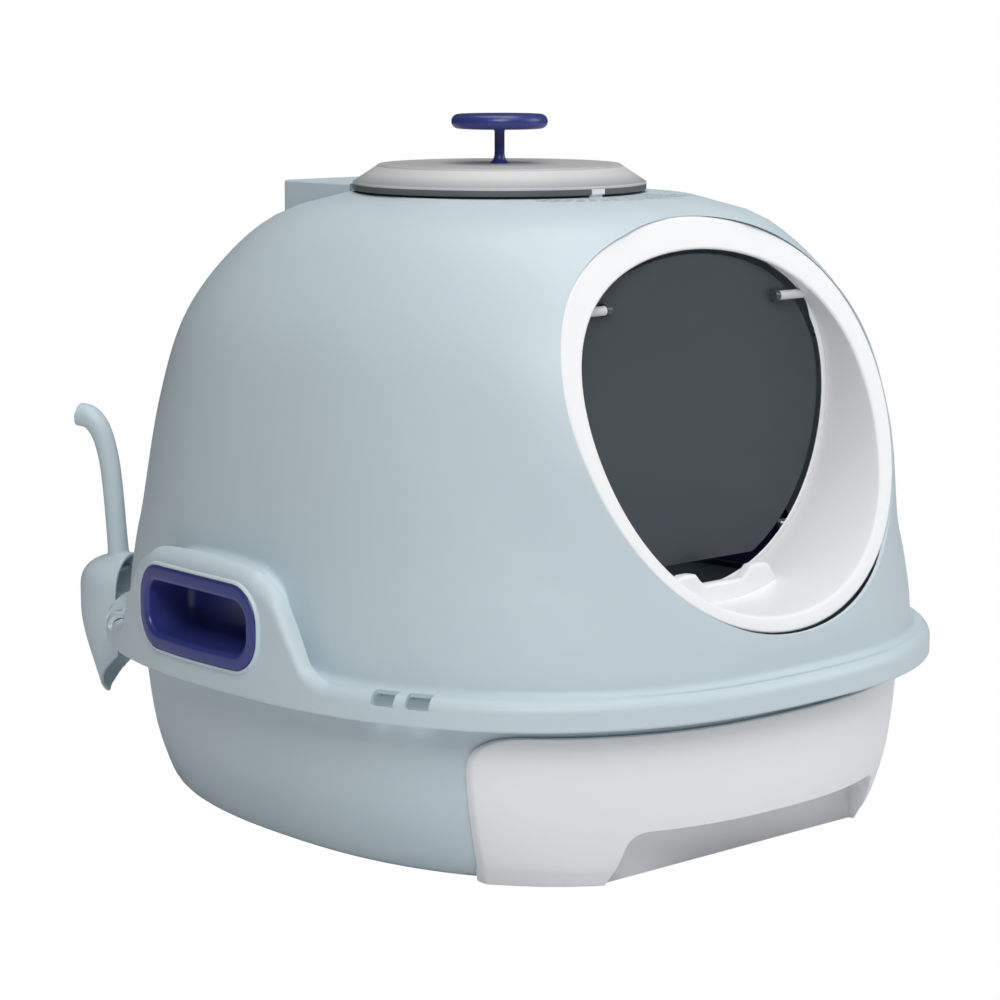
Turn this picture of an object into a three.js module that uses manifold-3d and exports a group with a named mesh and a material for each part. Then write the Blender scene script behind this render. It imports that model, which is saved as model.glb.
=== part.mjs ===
// Covered litter box: a pan with a drawer, a dome hood with an entry ring and a swinging flap,
// a flip lid over a filter, hand-hold cups in raised arches, and a scoop hung at the back.
// Millimetres, +Z up, the entry faces -Y, the origin is on the floor under the middle of the pan.
import * as THREE from 'three';
import { mergeVertices } from 'three/addons/utils/BufferGeometryUtils.js';
import Module from 'manifold-3d';

const wasm = await Module();
wasm.setup();

// Shared sizes of the mouldings
const wall = 2.6;
const clearance = 0.3;
const overrun = 6;
const weld = 0.0001;
const sliver = 0.1;
const planPoints = 44;
const insidePoints = 28;
const barrelSides = 16;
const cornerDivisions = 3;
const shapeDivisions = 4;
const roundShare = 0.3;

// Rim of the hood: the skirt that closes over the pan
const rimHalfWidth = 253.8;
const rimHalfDepth = 274.4;
const rimPower = 2.38;
const rimRearPower = 2.5;
const rimBottom = 107.6;
const rimTop = 127;
const rimShoulder = 8;

// Dome of the hood, set back from the rim by a ledge
const ledgeSide = 22.8;
const ledgeFront = 15.4;
const domePower = 2.5;
const domeHeight = 284.6;
const domeLevels = 8;
const filletSize = 4;
const filletShare = 0.35;
const swellReach = 75;
const swellStart = 120;
const swellMost = 26;
const swellHeightShares = [
  [0, 0.1], [0.1, 0.1], [0.3, 0.2], [0.5, 0.31], [0.85, 0.31], [0.94, 0.5], [1, 1],
];
const domeProfileShares = [
  [0, 1], [0.25, 0.98], [0.5, 0.932], [0.7, 0.863], [0.85, 0.745], [0.95, 0.605], [1, 0.42],
];

// Pan
const panInset = 21.4;
const panTaper = 42.1;
const panRake = 14.8;
const panShift = 3.2;
const panFloor = 3;
const panProfileShares = [
  [0, 1], [0.028, 0.816], [0.084, 0.626], [0.187, 0.48], [0.42, 0.266], [0.7, 0.112], [1, 0],
];
const flangeReach = 17;
const flangeLip = 12;
const runnerWidth = 5;
const runnerHeight = 1.5;
const runnerSet = 12;
const runnerHalfSpacing = 110;
const catchLength = 13;
const catchProud = 0.7;

// Drawer tray
const traySideSpace = 45;
const trayRearSpace = 51;
const trayHeight = 83;
const trayTaper = 8;
const trayWall = 2.4;
const trayFlange = 4;
const trayFrontCorner = 45;
const trayRearCorner = 60;
const mouthGap = 1.5;

// Drawer front with its grip notch
const frontCover = 45.2;
const frontTaper = 25.5;
const frontTop = 97;
const frontLift = 0.4;
const frontGap = 1.6;
const frontProudTop = 5.5;
const frontProudBottom = 9;
const frontSteps = 12;
const frontCornerShares = [0, 0.4, 0.7, 0.9, 1];
const frontCorner = 18;
const frontEdge = 1.8;
const notchHalfWidth = 114;
const notchTaper = 8.4;
const notchHeight = 35.2;
const notchRecess = 15.5;
const notchCorner = 9;
const webInset = 52;
const webWidth = 9;
const webBottom = 44;
const webTop = 78;
const screwShank = 1.7;
const screwHead = 3.6;
const screwHeadHeight = 2.4;
const screwLength = 14;

// Entry ring and tunnel
const ringTilt = 0.3738;
const ringCentreZ = 264.1;
const ringSet = 42.8;
const ringHalfWidth = 139.1;
const ringHalfHeight = 134.9;
const ringLift = 14.1;
const ringFaceSide = 14.8;
const ringFaceEnds = 16.4;
const ringFaceLift = 5.4;
const ringEggShares = [0.106, 0.086];
const tunnelEggShares = [0.091, 0.118];
const ringEdge = 7;
const ringInnerEdge = 2.5;
const ringSkirt = 26;
const ringPoints = 32;
const tunnelSet = 46.2;
const tunnelEndSet = 3.6;
const lipFront = 30;
const lipDepth = 9;
const lipRise = 12.5;
const bumpRise = 8;
const bumpInner = 18;
const bumpPeak = 24;
const bumpOuter = 38;
const bumpFoot = 46;
const bossRadius = 5;
const bossDepth = 16;
const bossOut = 6.2;
const bossTurnShares = [0.07, 0.43, 0.615, 0.885];

// Flap, its frame and its two pins
const frameInset = 3;
const frameFlare = 9;
const frameReach = 13;
const frameThickness = 9;
const frameRoomDepth = 6.7;
const hingeZ = 349;
const pinRadius = 3;
const pinTipRadius = 1.5;
const pinInner = 78;
const pinOuter = 108;
const lugWidth = 3.6;
const lugRadius = 3.4;
const flapGap = 3;
const flapThickness = 1.6;
const flapBottomRise = 1.8;

// Flip lid, its hinge, seal, catch and knob
const lidAxisY = 15;
const lidRadius = 99;
const lidTopRadius = 82.2;
const lidFoot = 1.6;
const lidSkirt = 5.7;
const lidBevel = 11.4;
const lidWall = 2;
const sealWidth = 3.4;
const sealHeight = 2.4;
const catchWindowWidth = 8;
const catchWindowHeight = 4.2;
const catchDepth = 4;
const catchGap = 0.9;
const hingeOut = 5;
const hingeRise = 7;
const knuckleRadius = 3.9;
const knuckleHalf = 10;
const earHalf = 20;
const hingePinRadius = 1.6;
const knobRadius = 32.5;
const knobThickness = 9.8;
const knobStem = 3.4;
const knobFoot = 6.8;
const knobRise = 23;
const knobFlareShares = [0.72, 0.3];
const knobScrewLength = 16;
const knobScrewHead = 5;
const knobEdgeSteps = 6;
const roundSteps = 20;
const lidSteps = 32;

// Filter under the lid
const filterFlangeRadius = 91.5;
const filterTubRadius = 84;
const filterTubDepth = 20;
const filterFlangeHeight = 1.6;
const filterWall = 1.8;
const filterPadThickness = 12;
const filterSlotWidth = 7;
const filterSlotPitch = 18;

// Low block behind the lid, and the air slots round it
const blockHalfWidth = 70;
const blockBack = 150;
const blockRise = 2.8;
const blockGap = 3;
const blockRoot = 48;
const ventRows = 3;
const ventHalfCount = 4;
const ventTurn = 0.105;
const ventRadius = 107;
const ventPitch = 8;
const ventSize = 3.2;
const ventDepth = 32;
const ventSides = 4;

// Hand-hold arches and their cups
const holdCentreY = 20.5;
const holdCentreZ = 152.2;
const archHalfLength = 112;
const archHeight = 65.3;
const archRound = 9;
const archFootShare = 0.25;
const archInsideShare = 0.9;
const archHalfShares = [
  [0, 1], [0.42, 0.965], [0.56, 0.89], [0.7, 0.735], [0.84, 0.345], [0.92, 0.12], [1, 0.03],
];
const cupLength = 132;
const cupHeight = 55.8;
const cupCorner = 20;
const cupCrown = 0.8;
const cupBorder = 10;
const cupDepth = 39;
const cupWall = 2.4;
const cupFlange = 2.2;
const cupEdge = 1.6;

// Snap windows in the rim, in front of and behind the hand-holds
const windowLength = 15.5;
const windowPitch = 25;
const windowFrontSet = 121.9;
const windowRearSet = 103.4;
const windowDrop = 7.5;
const windowReach = 9;

// Scoop and its hook at the back left
const scoopTurn = 2.07;
const scoopHookReach = 22;
const scoopHookWidth = 12;
const scoopHookThickness = 3;
const scoopHookHeight = 18;
const bladeOpen = 8;
const bladeDepth = 34;
const bladeTipShares = [0.72, 0.55];
const bladeTaperShare = 0.5;
const bladeHalfWidth = 33;
const bladeWall = 2.4;
const bladeTop = 143;
const bladeLength = 105;
const bladeShoulder = 14;
const bladeShoulderShares = [0, 0.25, 0.6, 1];
const bladeCut = 44;
const bladeTurn = 1.4;
const bladeSteps = 8;
const bladeNeck = 8.4;
const handleRadius = 7.8;
const handleRise = 104;
const handleLean = 31;
const handlePathShares = [[0, -0.04], [0.1, 0.36], [0.24, 0.66], [0.44, 0.84], [1, 1]];
const handleSides = 10;
const handleSteps = 12;

// Sizes that follow from the ones above
const domeHalfWidth = rimHalfWidth - ledgeSide;
const domeHalfDepth = rimHalfDepth - ledgeFront;
const deckZ = rimTop + domeHeight;
const panHalfWidth = rimHalfWidth - panInset;
const panTop = rimTop - wall - clearance;
const innerShoulder = rimShoulder - wall;
const panBottomHalfWidth = panHalfWidth - panTaper;
const panBottomHalfDepth = rimHalfDepth - panInset - panTaper + panRake;
const trayHalfWidth = panBottomHalfWidth - traySideSpace;
const notchBackY = panShift - panBottomHalfDepth + notchRecess;
const trayFrontY = notchBackY + wall + clearance;
const trayRearY = panShift + panBottomHalfDepth - trayRearSpace;
const trayBottom = panFloor + runnerHeight + clearance;
const trayTop = trayBottom + trayHeight;
const mouthHalfWidth = trayHalfWidth + trayFlange + mouthGap;
const mouthTop = trayTop + mouthGap;
const frontHalfWidth = mouthHalfWidth + frontCover;
const ringCentreY = ringSet - domeHalfDepth;
const tunnelRearY = ringCentreY + tunnelSet;
const tunnelHalfWidth = ringHalfWidth - ringFaceSide;
const tunnelHalfHeight = ringHalfHeight - ringFaceEnds;
const tunnelLift = ringLift - ringFaceLift;
const frameFrontY = tunnelRearY + clearance;
const flapY = frameFrontY + pinRadius + clearance + flapThickness / 2;
const lidBottomZ = deckZ + lidFoot;
const lidTopZ = lidBottomZ + lidSkirt + lidBevel;
const hingeY = lidAxisY + lidRadius + hingeOut;
const lidHingeZ = deckZ + hingeRise;
const archOuterX = rimHalfWidth;
const windowFrontY = windowFrontSet - rimHalfDepth;
const windowRearY = rimHalfDepth - windowRearSet;
const cupProud = cupFlange + clearance;
const cupFaceX = archOuterX + cupProud;

// Turns a geometry into a solid for joining and cutting.
function solid(geometry) {
  const bare = new THREE.BufferGeometry();
  bare.setAttribute('position', geometry.attributes.position.clone());
  if (geometry.index) bare.setIndex(geometry.index.clone());
  const merged = mergeVertices(bare, weld);
  const corners = merged.index.array;
  const kept = [];
  for (let i = 0; i < corners.length; i += 3) {
    const [a, b, c] = [corners[i], corners[i + 1], corners[i + 2]];
    if (a !== b && b !== c && c !== a) kept.push(a, b, c);
  }
  return new wasm.Manifold(new wasm.Mesh({
    numProp: 3,
    vertProperties: new Float32Array(merged.attributes.position.array),
    triVerts: new Uint32Array(kept),
  }));
}

// Turns a solid back into a geometry, without the slivers that cutting leaves.
function geometryOf(manifold) {
  const mesh = manifold.simplify(sliver).getMesh();
  const geometry = new THREE.BufferGeometry();
  geometry.setAttribute('position', new THREE.BufferAttribute(mesh.vertProperties, 3));
  geometry.setIndex(new THREE.BufferAttribute(mesh.triVerts, 1));
  geometry.computeVertexNormals();
  return geometry;
}

// Triangles that close one end of a loft, wound like the ring.
function capFaces(ring) {
  const normal = new THREE.Vector3();
  ring.forEach((point, i) => normal.add(point.clone().cross(ring[(i + 1) % ring.length])));
  const axes = ['z', 'x', 'y'];
  const drop = axes.reduce((best, axis) => (
    Math.abs(normal[axis]) > 2 * Math.abs(normal[best]) ? axis : best
  ));
  const [across, up] = axes.filter((axis) => axis !== drop);
  const flat = ring.map((point) => new THREE.Vector2(point[across], point[up]));
  const facing = Math.sign(THREE.ShapeUtils.area(flat));
  return THREE.ShapeUtils.triangulateShape(flat, []).map((face) => {
    const same = Math.sign(THREE.ShapeUtils.area(face.map((i) => flat[i]))) === facing;
    return same ? face : [face[0], face[2], face[1]];
  });
}

// Skins a row of rings with as many points each; a joined row closes on its first ring.
function loft(rings, joined = false) {
  const count = rings[0].length;
  const faces = [];
  const spans = joined ? rings.length : rings.length - 1;
  for (let k = 0; k < spans; k += 1) {
    const here = k * count;
    const there = ((k + 1) % rings.length) * count;
    for (let i = 0; i < count; i += 1) {
      const j = (i + 1) % count;
      faces.push([here + i, here + j, there + j], [here + i, there + j, there + i]);
    }
  }
  if (!joined) {
    const last = (rings.length - 1) * count;
    capFaces(rings[0]).forEach(([a, b, c]) => faces.push([a, c, b]));
    capFaces(rings.at(-1)).forEach(([a, b, c]) => faces.push([last + a, last + b, last + c]));
  }
  const points = rings.flat();
  const volume = faces.reduce(
    (sum, [a, b, c]) => sum + points[a].dot(points[b].clone().cross(points[c])), 0,
  );
  const outward = volume < 0 ? faces.map(([a, b, c]) => [a, c, b]) : faces;
  const geometry = new THREE.BufferGeometry();
  const numbers = points.flatMap((point) => [point.x, point.y, point.z]);
  geometry.setAttribute('position', new THREE.Float32BufferAttribute(numbers, 3));
  geometry.setIndex(outward.flat());
  return geometry;
}

const loftSolid = (rings, joined) => solid(loft(rings, joined));

// Straight block between two corners.
function block(lowX, highX, lowY, highY, lowZ, highZ) {
  const geometry = new THREE.BoxGeometry(highX - lowX, highY - lowY, highZ - lowZ);
  return solid(geometry.translate((lowX + highX) / 2, (lowY + highY) / 2, (lowZ + highZ) / 2));
}

// Solid of revolution about +Z through (x, y), from pairs of radius and height.
function turned(profile, x = 0, y = 0, steps = roundSteps) {
  const points = profile.map(([radius, height]) => new THREE.Vector2(radius, height));
  if (THREE.ShapeUtils.area(points) < 0) points.reverse();
  const geometry = new THREE.LatheGeometry(points, steps);
  return solid(geometry.rotateX(Math.PI / 2).translate(x, y, 0));
}

// Closed profile of a plain rod from one height to another.
const rodProfile = (radius, low, high) => [[0, low], [radius, low], [radius, high], [0, high]];

const unite = (solids) => solids.reduce((sum, next) => sum.add(next));
const mirrored = (manifold) => manifold.mirror([1, 0, 0]);

// Superellipse in plan
function planRing(z, halfWidth, halfDepth, power, centreY = 0, count = planPoints, rearPower = power) {
  return Array.from({ length: count }, (_, i) => {
    const turn = (2 * Math.PI * i) / count;
    const share = 2 / (Math.sin(turn) > 0 ? rearPower : power);
    const bend = (value) => Math.sign(value) * Math.abs(value) ** share;
    return new THREE.Vector3(halfWidth * bend(Math.cos(turn)), centreY + halfDepth * bend(Math.sin(turn)), z);
  });
}

// Outline of the rim, squarer at the rear, with its half width and half depth moved in by an inset
const rimRing = (z, inset) => planRing(
  z, rimHalfWidth - inset, rimHalfDepth - inset, rimPower, 0, planPoints, rimRearPower,
);
const rimPowerAt = (y) => (y > 0 ? rimRearPower : rimPower);

// Distance from the middle to a superellipse's side at a place along the other axis
const planReach = (along, acrossHalf, alongHalf, power) => (
  acrossHalf * Math.max(0, 1 - Math.abs(along / alongHalf) ** power) ** (1 / power)
);

const rimReachX = (y, inset = 0) => planReach(y, rimHalfWidth - inset, rimHalfDepth - inset, rimPowerAt(y));

// Pan outline at a height, grown outwards by a margin
function panSection(z, margin = 0) {
  const share = Math.min(1, z / rimBottom);
  const k = panProfileShares.findIndex(([height]) => height >= share);
  const [above, below] = [panProfileShares[Math.max(k, 1)], panProfileShares[Math.max(k, 1) - 1]];
  const blend = (share - below[0]) / (above[0] - below[0]);
  const halfWidth = panHalfWidth - panTaper * THREE.MathUtils.lerp(below[1], above[1], blend);
  const extra = rimHalfDepth - rimHalfWidth + panRake * (1 - share);
  return {
    halfWidth: halfWidth + margin,
    halfDepth: halfWidth + extra + margin,
    centreY: panShift * (1 - share),
  };
}

// Front of the pan at a place across and a height, moved outwards by a margin
function panFrontY(x, z, margin = 0) {
  const { halfWidth, halfDepth, centreY } = panSection(z, margin);
  return centreY - planReach(x, halfDepth, halfWidth, rimPower);
}

const panRing = (z, margin = 0) => {
  const { halfWidth, halfDepth, centreY } = panSection(z, margin);
  return planRing(z, halfWidth, halfDepth, rimPower, centreY);
};

// Places of the snap windows along the rim: pairs in front of and behind each hand-hold
const windowPlaces = [-1, 1].flatMap((side) => [-1, 1].flatMap((end) => [-0.5, 0.5].map((half) => {
  const y = (end < 0 ? windowFrontY : windowRearY) + half * windowPitch;
  const x = rimReachX(y);
  const power = rimPowerAt(y) - 1;
  const slope = ((Math.abs(y) / rimHalfDepth) ** power / rimHalfDepth)
    / ((x / rimHalfWidth) ** power / rimHalfWidth);
  return { x: side * x, y, turn: Math.atan2(Math.sign(y) * slope, side) };
})));

// Block along the rim at a snap window, from one distance inside the rim's face to another
function rimBlock(place, length, outer, inner, lowZ, highZ) {
  const geometry = new THREE.BoxGeometry(inner - outer, length, highZ - lowZ);
  geometry.translate(-(inner + outer) / 2, 0, (lowZ + highZ) / 2);
  return solid(geometry.rotateZ(place.turn).translate(place.x, place.y, 0));
}

// Pan: tapered tub with a flange under the hood's rim, a front mouth for the drawer and two runners
function makePan() {
  const levels = panProfileShares.map(([height]) => height * rimBottom);
  const outer = loftSolid([...levels, panTop].map((z) => panRing(z)));
  const inner = loftSolid([panFloor, ...levels.filter((z) => z > panFloor), panTop + overrun]
    .map((z) => planRing(z, ...insetSection(z))));
  const flangeZ = panTop - wall;
  const flange = loftSolid([
    planRing(flangeZ, panHalfWidth - wall, rimHalfDepth - panInset - wall, rimPower),
    flangeRing(flangeZ, -wall),
    flangeRing(panTop - flangeLip, -wall),
    flangeRing(panTop - flangeLip, 0),
    flangeRing(panTop - innerShoulder, 0),
    flangeRing(panTop, -innerShoulder),
    planRing(panTop, panHalfWidth - wall, rimHalfDepth - panInset - wall, rimPower),
  ], true);
  const lipY = panInset - flangeReach;
  const catches = windowPlaces.map((place) => (
    rimBlock(place, catchLength, lipY - catchProud, lipY + wall / 2, panTop - flangeLip / 2, panTop)
  ));
  const mouthBack = trayFrontY + trayFrontCorner;
  const mouth = block(-mouthHalfWidth, mouthHalfWidth, -rimHalfDepth, mouthBack, panFloor, mouthTop);
  const sillHalf = notchHalfWidth + wall + mouthGap;
  const sill = block(-sillHalf, sillHalf, -rimHalfDepth, notchBackY + wall + clearance, -overrun, mouthTop);
  const runners = [-1, 1].map((side) => block(
    side * runnerHalfSpacing - runnerWidth / 2,
    side * runnerHalfSpacing + runnerWidth / 2,
    trayFrontY + runnerSet,
    trayRearY,
    panFloor - wall / 2,
    panFloor + runnerHeight,
  ));
  return unite([outer.subtract(inner), flange, ...catches]).subtract(mouth).subtract(sill).add(unite(runners));
}

// Inside of the pan at a height, as the arguments that a plan ring takes after the height
function insetSection(z) {
  const { halfWidth, halfDepth, centreY } = panSection(z, -wall);
  return [halfWidth, halfDepth, rimPower, centreY];
}

// Outline of the pan's flange at a height, grown by a margin
function flangeRing(z, margin) {
  return rimRing(z, panInset - flangeReach - margin);
}

// Plan outline of the tray with round corners, larger at the back
function trayRing(z, inset, halfWidth) {
  const shape = new THREE.Shape();
  const side = halfWidth - inset;
  const front = trayFrontY + inset;
  const rear = trayRearY - inset;
  const frontRound = trayFrontCorner - inset;
  const rearRound = trayRearCorner - inset;
  shape.moveTo(-side + frontRound, front);
  shape.lineTo(side - frontRound, front);
  shape.absarc(side - frontRound, front + frontRound, frontRound, -Math.PI / 2, 0);
  shape.lineTo(side, rear - rearRound);
  shape.absarc(side - rearRound, rear - rearRound, rearRound, 0, Math.PI / 2);
  shape.lineTo(-side + rearRound, rear);
  shape.absarc(-side + rearRound, rear - rearRound, rearRound, Math.PI / 2, Math.PI);
  shape.lineTo(-side, front + frontRound);
  shape.absarc(-side + frontRound, front + frontRound, frontRound, Math.PI, 1.5 * Math.PI);
  return shapeRing(shape, (point) => new THREE.Vector3(point.x, point.y, z));
}

// Points of a closed shape without doubled ones, each placed in space
function shapeRing(shape, place, divisions = shapeDivisions) {
  const points = shape.getPoints(divisions);
  const apart = points.filter((point, i) => point.distanceTo(points[(i + 1) % points.length]) > weld);
  return apart.map(place);
}

// Tray of the drawer: tapered tub with round corners and a rolled flange
function makeTray() {
  const low = trayHalfWidth - trayTaper;
  const flangeZ = trayTop - trayWall;
  return loftSolid([
    trayRing(trayBottom, 0, low),
    trayRing(flangeZ, 0, trayHalfWidth),
    trayRing(flangeZ, 0, trayHalfWidth + trayFlange),
    trayRing(trayTop, 0, trayHalfWidth + trayFlange),
    trayRing(trayTop, trayWall, trayHalfWidth),
    trayRing(trayBottom + trayWall, trayWall, low),
  ]).subtract(unite([-1, 1].map((side) => screwHole(side, trayFrontY - overrun, overrun))));
}

// Where the drawer's screws stand
const screwX = trayHalfWidth - trayTaper - webInset;
const screwZ = (webBottom + webTop) / 2;

// Clearance hole for a drawer screw, along Y
function screwHole(side, startY, extra) {
  const geometry = new THREE.CylinderGeometry(
    screwShank + clearance, screwShank + clearance, screwLength + extra, handleSides,
  );
  return solid(geometry.translate(side * screwX, startY + (screwLength + extra) / 2, screwZ));
}

// Half width of the drawer's front at a height, with its round upper corners
function frontHalf(z) {
  const plain = frontHalfWidth - frontTaper * (1 - z / frontTop);
  const intoCorner = Math.max(0, z - (frontTop - frontCorner));
  return plain - frontCorner + Math.sqrt(Math.max(0, frontCorner ** 2 - intoCorner ** 2));
}

// Level slice of the drawer's front: from one distance off the pan's face to another
function frontSlice(z, half, nearMargin, farMargin, edge, back = 0) {
  const along = (count, width) => Array.from({ length: count + 1 }, (_, i) => (
    width * Math.sin((i / count - 1 / 2) * Math.PI)
  ));
  const near = along(frontSteps, half).map((x) => new THREE.Vector3(x, panFrontY(x, z, nearMargin) + back, z));
  const far = along(frontSteps, half - edge).map((x) => new THREE.Vector3(x, panFrontY(x, z, farMargin), z));
  return [...near, ...far.reverse()];
}

// Front of the drawer: a hollow plate over the pan's face, with a grip notch below and two webs behind
function makeDrawerFront() {
  const levels = [
    frontLift,
    ...panProfileShares.slice(1, -1).map(([height]) => height * rimBottom)
      .filter((z) => z < frontTop - frontCorner),
    ...frontCornerShares.map((share) => frontTop - frontCorner + frontCorner * share * (1 - weld)),
  ];
  const proud = (z) => THREE.MathUtils.lerp(frontProudBottom, frontProudTop, z / frontTop);
  const plate = loftSolid(levels.map((z) => frontSlice(z, frontHalf(z), frontGap, proud(z), frontEdge)));
  const hollowLevels = [frontLift + wall, ...levels.slice(1).map((z) => Math.min(z, frontTop - wall))]
    .filter((z, i, all) => i === 0 || z > all[i - 1]);
  const hollow = loftSolid(hollowLevels.map((z) => (
    frontSlice(z, frontHalf(z) - 2 * wall, -overrun, proud(z) - wall, frontEdge)
  )));
  const deep = rimHalfDepth / 2;
  const bulk = loftSolid(levels.map((z) => frontSlice(z, frontHalf(z) - wall, 0, proud(z), frontEdge, deep)))
    .intersect(block(-rimHalfWidth, rimHalfWidth, -rimHalfDepth, notchBackY + wall, 0, frontTop));
  const housing = notchPrism(wall, notchBackY + wall).intersect(bulk);
  const webs = [-1, 1].map((side) => block(
    side * screwX - webWidth / 2, side * screwX + webWidth / 2,
    -rimHalfDepth, notchBackY + wall, webBottom, webTop,
  ).intersect(bulk).subtract(screwHole(side, trayFrontY - screwLength, overrun)));
  return unite([plate.subtract(hollow), housing, ...webs]).subtract(notchPrism(0, notchBackY));
}

// Grip notch, or the housing round it when grown, running forwards from a back wall
function notchPrism(grow, backY) {
  const low = notchHalfWidth + grow;
  const high = notchHalfWidth - notchTaper + grow;
  const top = notchHeight + grow;
  const bottom = grow > 0 ? frontLift : -overrun;
  const shape = new THREE.Shape();
  shape.moveTo(-low, bottom);
  shape.lineTo(low, bottom);
  shape.lineTo(high + notchTaper * (notchCorner / notchHeight), top - notchCorner);
  shape.quadraticCurveTo(high, top, high - notchCorner, top);
  shape.lineTo(-high + notchCorner, top);
  shape.quadraticCurveTo(-high, top, -high - notchTaper * (notchCorner / notchHeight), top - notchCorner);
  shape.closePath();
  const ring = (y) => shapeRing(shape, (point) => new THREE.Vector3(point.x, y, point.y));
  return loftSolid([ring(backY), ring(-rimHalfDepth - overrun)]);
}

// Egg outline of the entry at a turn: across, and up along the ring's face
function eggPoint(turn, halfWidth, halfHeight, lift, [tilt, bow]) {
  const rise = Math.sin(turn);
  return [halfWidth * (1 + tilt * rise + bow * rise ** 2) * Math.cos(turn), lift + halfHeight * rise];
}

const ringEgg = (turn, grow) => (
  eggPoint(turn, ringHalfWidth + grow, ringHalfHeight + grow, ringLift, ringEggShares)
);
const tunnelEgg = (turn, grow) => (
  eggPoint(turn, tunnelHalfWidth + grow, tunnelHalfHeight + grow, tunnelLift, tunnelEggShares)
);

const ringTurns = Array.from({ length: ringPoints }, (_, i) => (2 * Math.PI * i) / ringPoints);

// Ring of an egg outline on the tilted face, moved back along Y
const onFace = (egg, grow, back) => ringTurns.map((turn) => {
  const [across, up] = egg(turn, grow);
  return new THREE.Vector3(across, ringCentreY + up * Math.sin(ringTilt) + back, ringCentreZ + up * Math.cos(ringTilt));
});

// The same outline seen along Y, in an upright plane
const onPlane = (egg, grow, y) => ringTurns.map((turn) => {
  const [across, up] = egg(turn, grow);
  return new THREE.Vector3(across, y, ringCentreZ + up * Math.cos(ringTilt));
});

// End of the tunnel: an upright plane, but behind the ring's face where that leans past it
const tunnelEnd = (grow, behind) => {
  const face = onFace(tunnelEgg, grow, behind);
  return onPlane(tunnelEgg, grow, tunnelRearY).map((point, i) => point.setY(Math.max(point.y, face[i].y)));
};

// Places of the screw bosses round the tunnel's end
const bossPlaces = bossTurnShares.map((share) => {
  const [across, up] = tunnelEgg(2 * Math.PI * share, bossOut);
  return [across, ringCentreZ + up * Math.cos(ringTilt)];
});

// Rod along Y at a place, from one Y to another
function rodAlongY(radius, x, z, startY, endY, sides = handleSides) {
  const geometry = new THREE.CylinderGeometry(radius, radius, endY - startY, sides);
  return solid(geometry.translate(x, (startY + endY) / 2, z));
}

// Rod along X at a place, from one X to another
function rodAlongX(radius, y, z, startX, endX, sides = handleSides) {
  const geometry = new THREE.CylinderGeometry(radius, radius, endX - startX, sides);
  return solid(geometry.rotateZ(Math.PI / 2).translate((startX + endX) / 2, y, z));
}

// Entry collar: face ring, skirt into the hood, tunnel with bosses, and the lip with two bumps
function makeCollar() {
  const shell = loftSolid([
    onFace(ringEgg, 0, ringSkirt),
    onFace(ringEgg, 0, ringEdge),
    onFace(ringEgg, -ringEdge * roundShare, ringEdge * roundShare),
    onFace(ringEgg, -ringEdge, 0),
    onFace(tunnelEgg, ringInnerEdge, 0),
    onFace(tunnelEgg, 0, ringInnerEdge),
    tunnelEnd(0, tunnelEndSet),
    tunnelEnd(wall, tunnelEndSet),
    onFace(tunnelEgg, wall, wall),
    onFace(ringEgg, -wall - ringEdge, wall),
    onFace(ringEgg, -wall, ringEdge + wall),
    onFace(ringEgg, -wall, ringSkirt),
  ], true);
  const bosses = bossPlaces.map(([x, z]) => rodAlongY(bossRadius, x, z, tunnelRearY - bossDepth, tunnelRearY));
  const faceRoom = loftSolid([onFace(ringEgg, overrun, -rimHalfDepth), onFace(ringEgg, overrun, wall / 2)]);
  const tunnelCore = loftSolid([
    onFace(tunnelEgg, 0, -overrun), onPlane(tunnelEgg, 0, tunnelRearY + overrun),
  ]);
  const bores = bossPlaces.map(([x, z]) => (
    rodAlongY(screwShank + clearance, x, z, tunnelRearY - bossDepth + wall, tunnelRearY + overrun)
  ));
  const trimmed = unite(bosses).subtract(unite([tunnelCore, faceRoom]));
  return unite([shell, trimmed, makeLip(tunnelCore)]).subtract(unite([...bores, pinGrooves()]));
}

// Lip across the tunnel's floor: low in the middle between two bumps
function makeLip(tunnelCore) {
  const floorZ = ringCentreZ + (tunnelLift - tunnelHalfHeight) * Math.cos(ringTilt);
  const low = floorZ + lipRise;
  const high = low + bumpRise;
  const shape = new THREE.Shape();
  shape.moveTo(-bumpFoot, floorZ - overrun);
  shape.lineTo(bumpFoot, floorZ - overrun);
  shape.lineTo(bumpFoot, low);
  shape.quadraticCurveTo(bumpFoot, high, bumpOuter, high);
  shape.lineTo(bumpPeak, high);
  shape.quadraticCurveTo(bumpInner, high, bumpInner, low);
  shape.lineTo(-bumpInner, low);
  shape.quadraticCurveTo(-bumpInner, high, -bumpPeak, high);
  shape.lineTo(-bumpOuter, high);
  shape.quadraticCurveTo(-bumpFoot, high, -bumpFoot, low);
  shape.closePath();
  const ring = (y) => shapeRing(shape, (point) => new THREE.Vector3(point.x, y, point.y));
  const frontY = tunnelRearY - lipFront;
  const bar = loftSolid([ring(frontY), ring(frontY + lipDepth)]);
  const reach = loftSolid([
    onFace(tunnelEgg, wall / 2, -overrun), onPlane(tunnelEgg, wall / 2, tunnelRearY + overrun),
  ]);
  return bar.intersect(reach).subtract(tunnelCore.subtract(bar));
}

// Half-round grooves that trap the two pins between the collar and the frame
const pinGrooves = () => unite([-1, 1].map((side) => rodAlongX(
  pinRadius + clearance, frameFrontY, hingeZ, ...sided(side, pinInner - overrun, pinOuter + clearance),
)));

// Two places on one side, in rising order
const sided = (side, near, far) => (side > 0 ? [near, far] : [-far, -near]);

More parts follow.
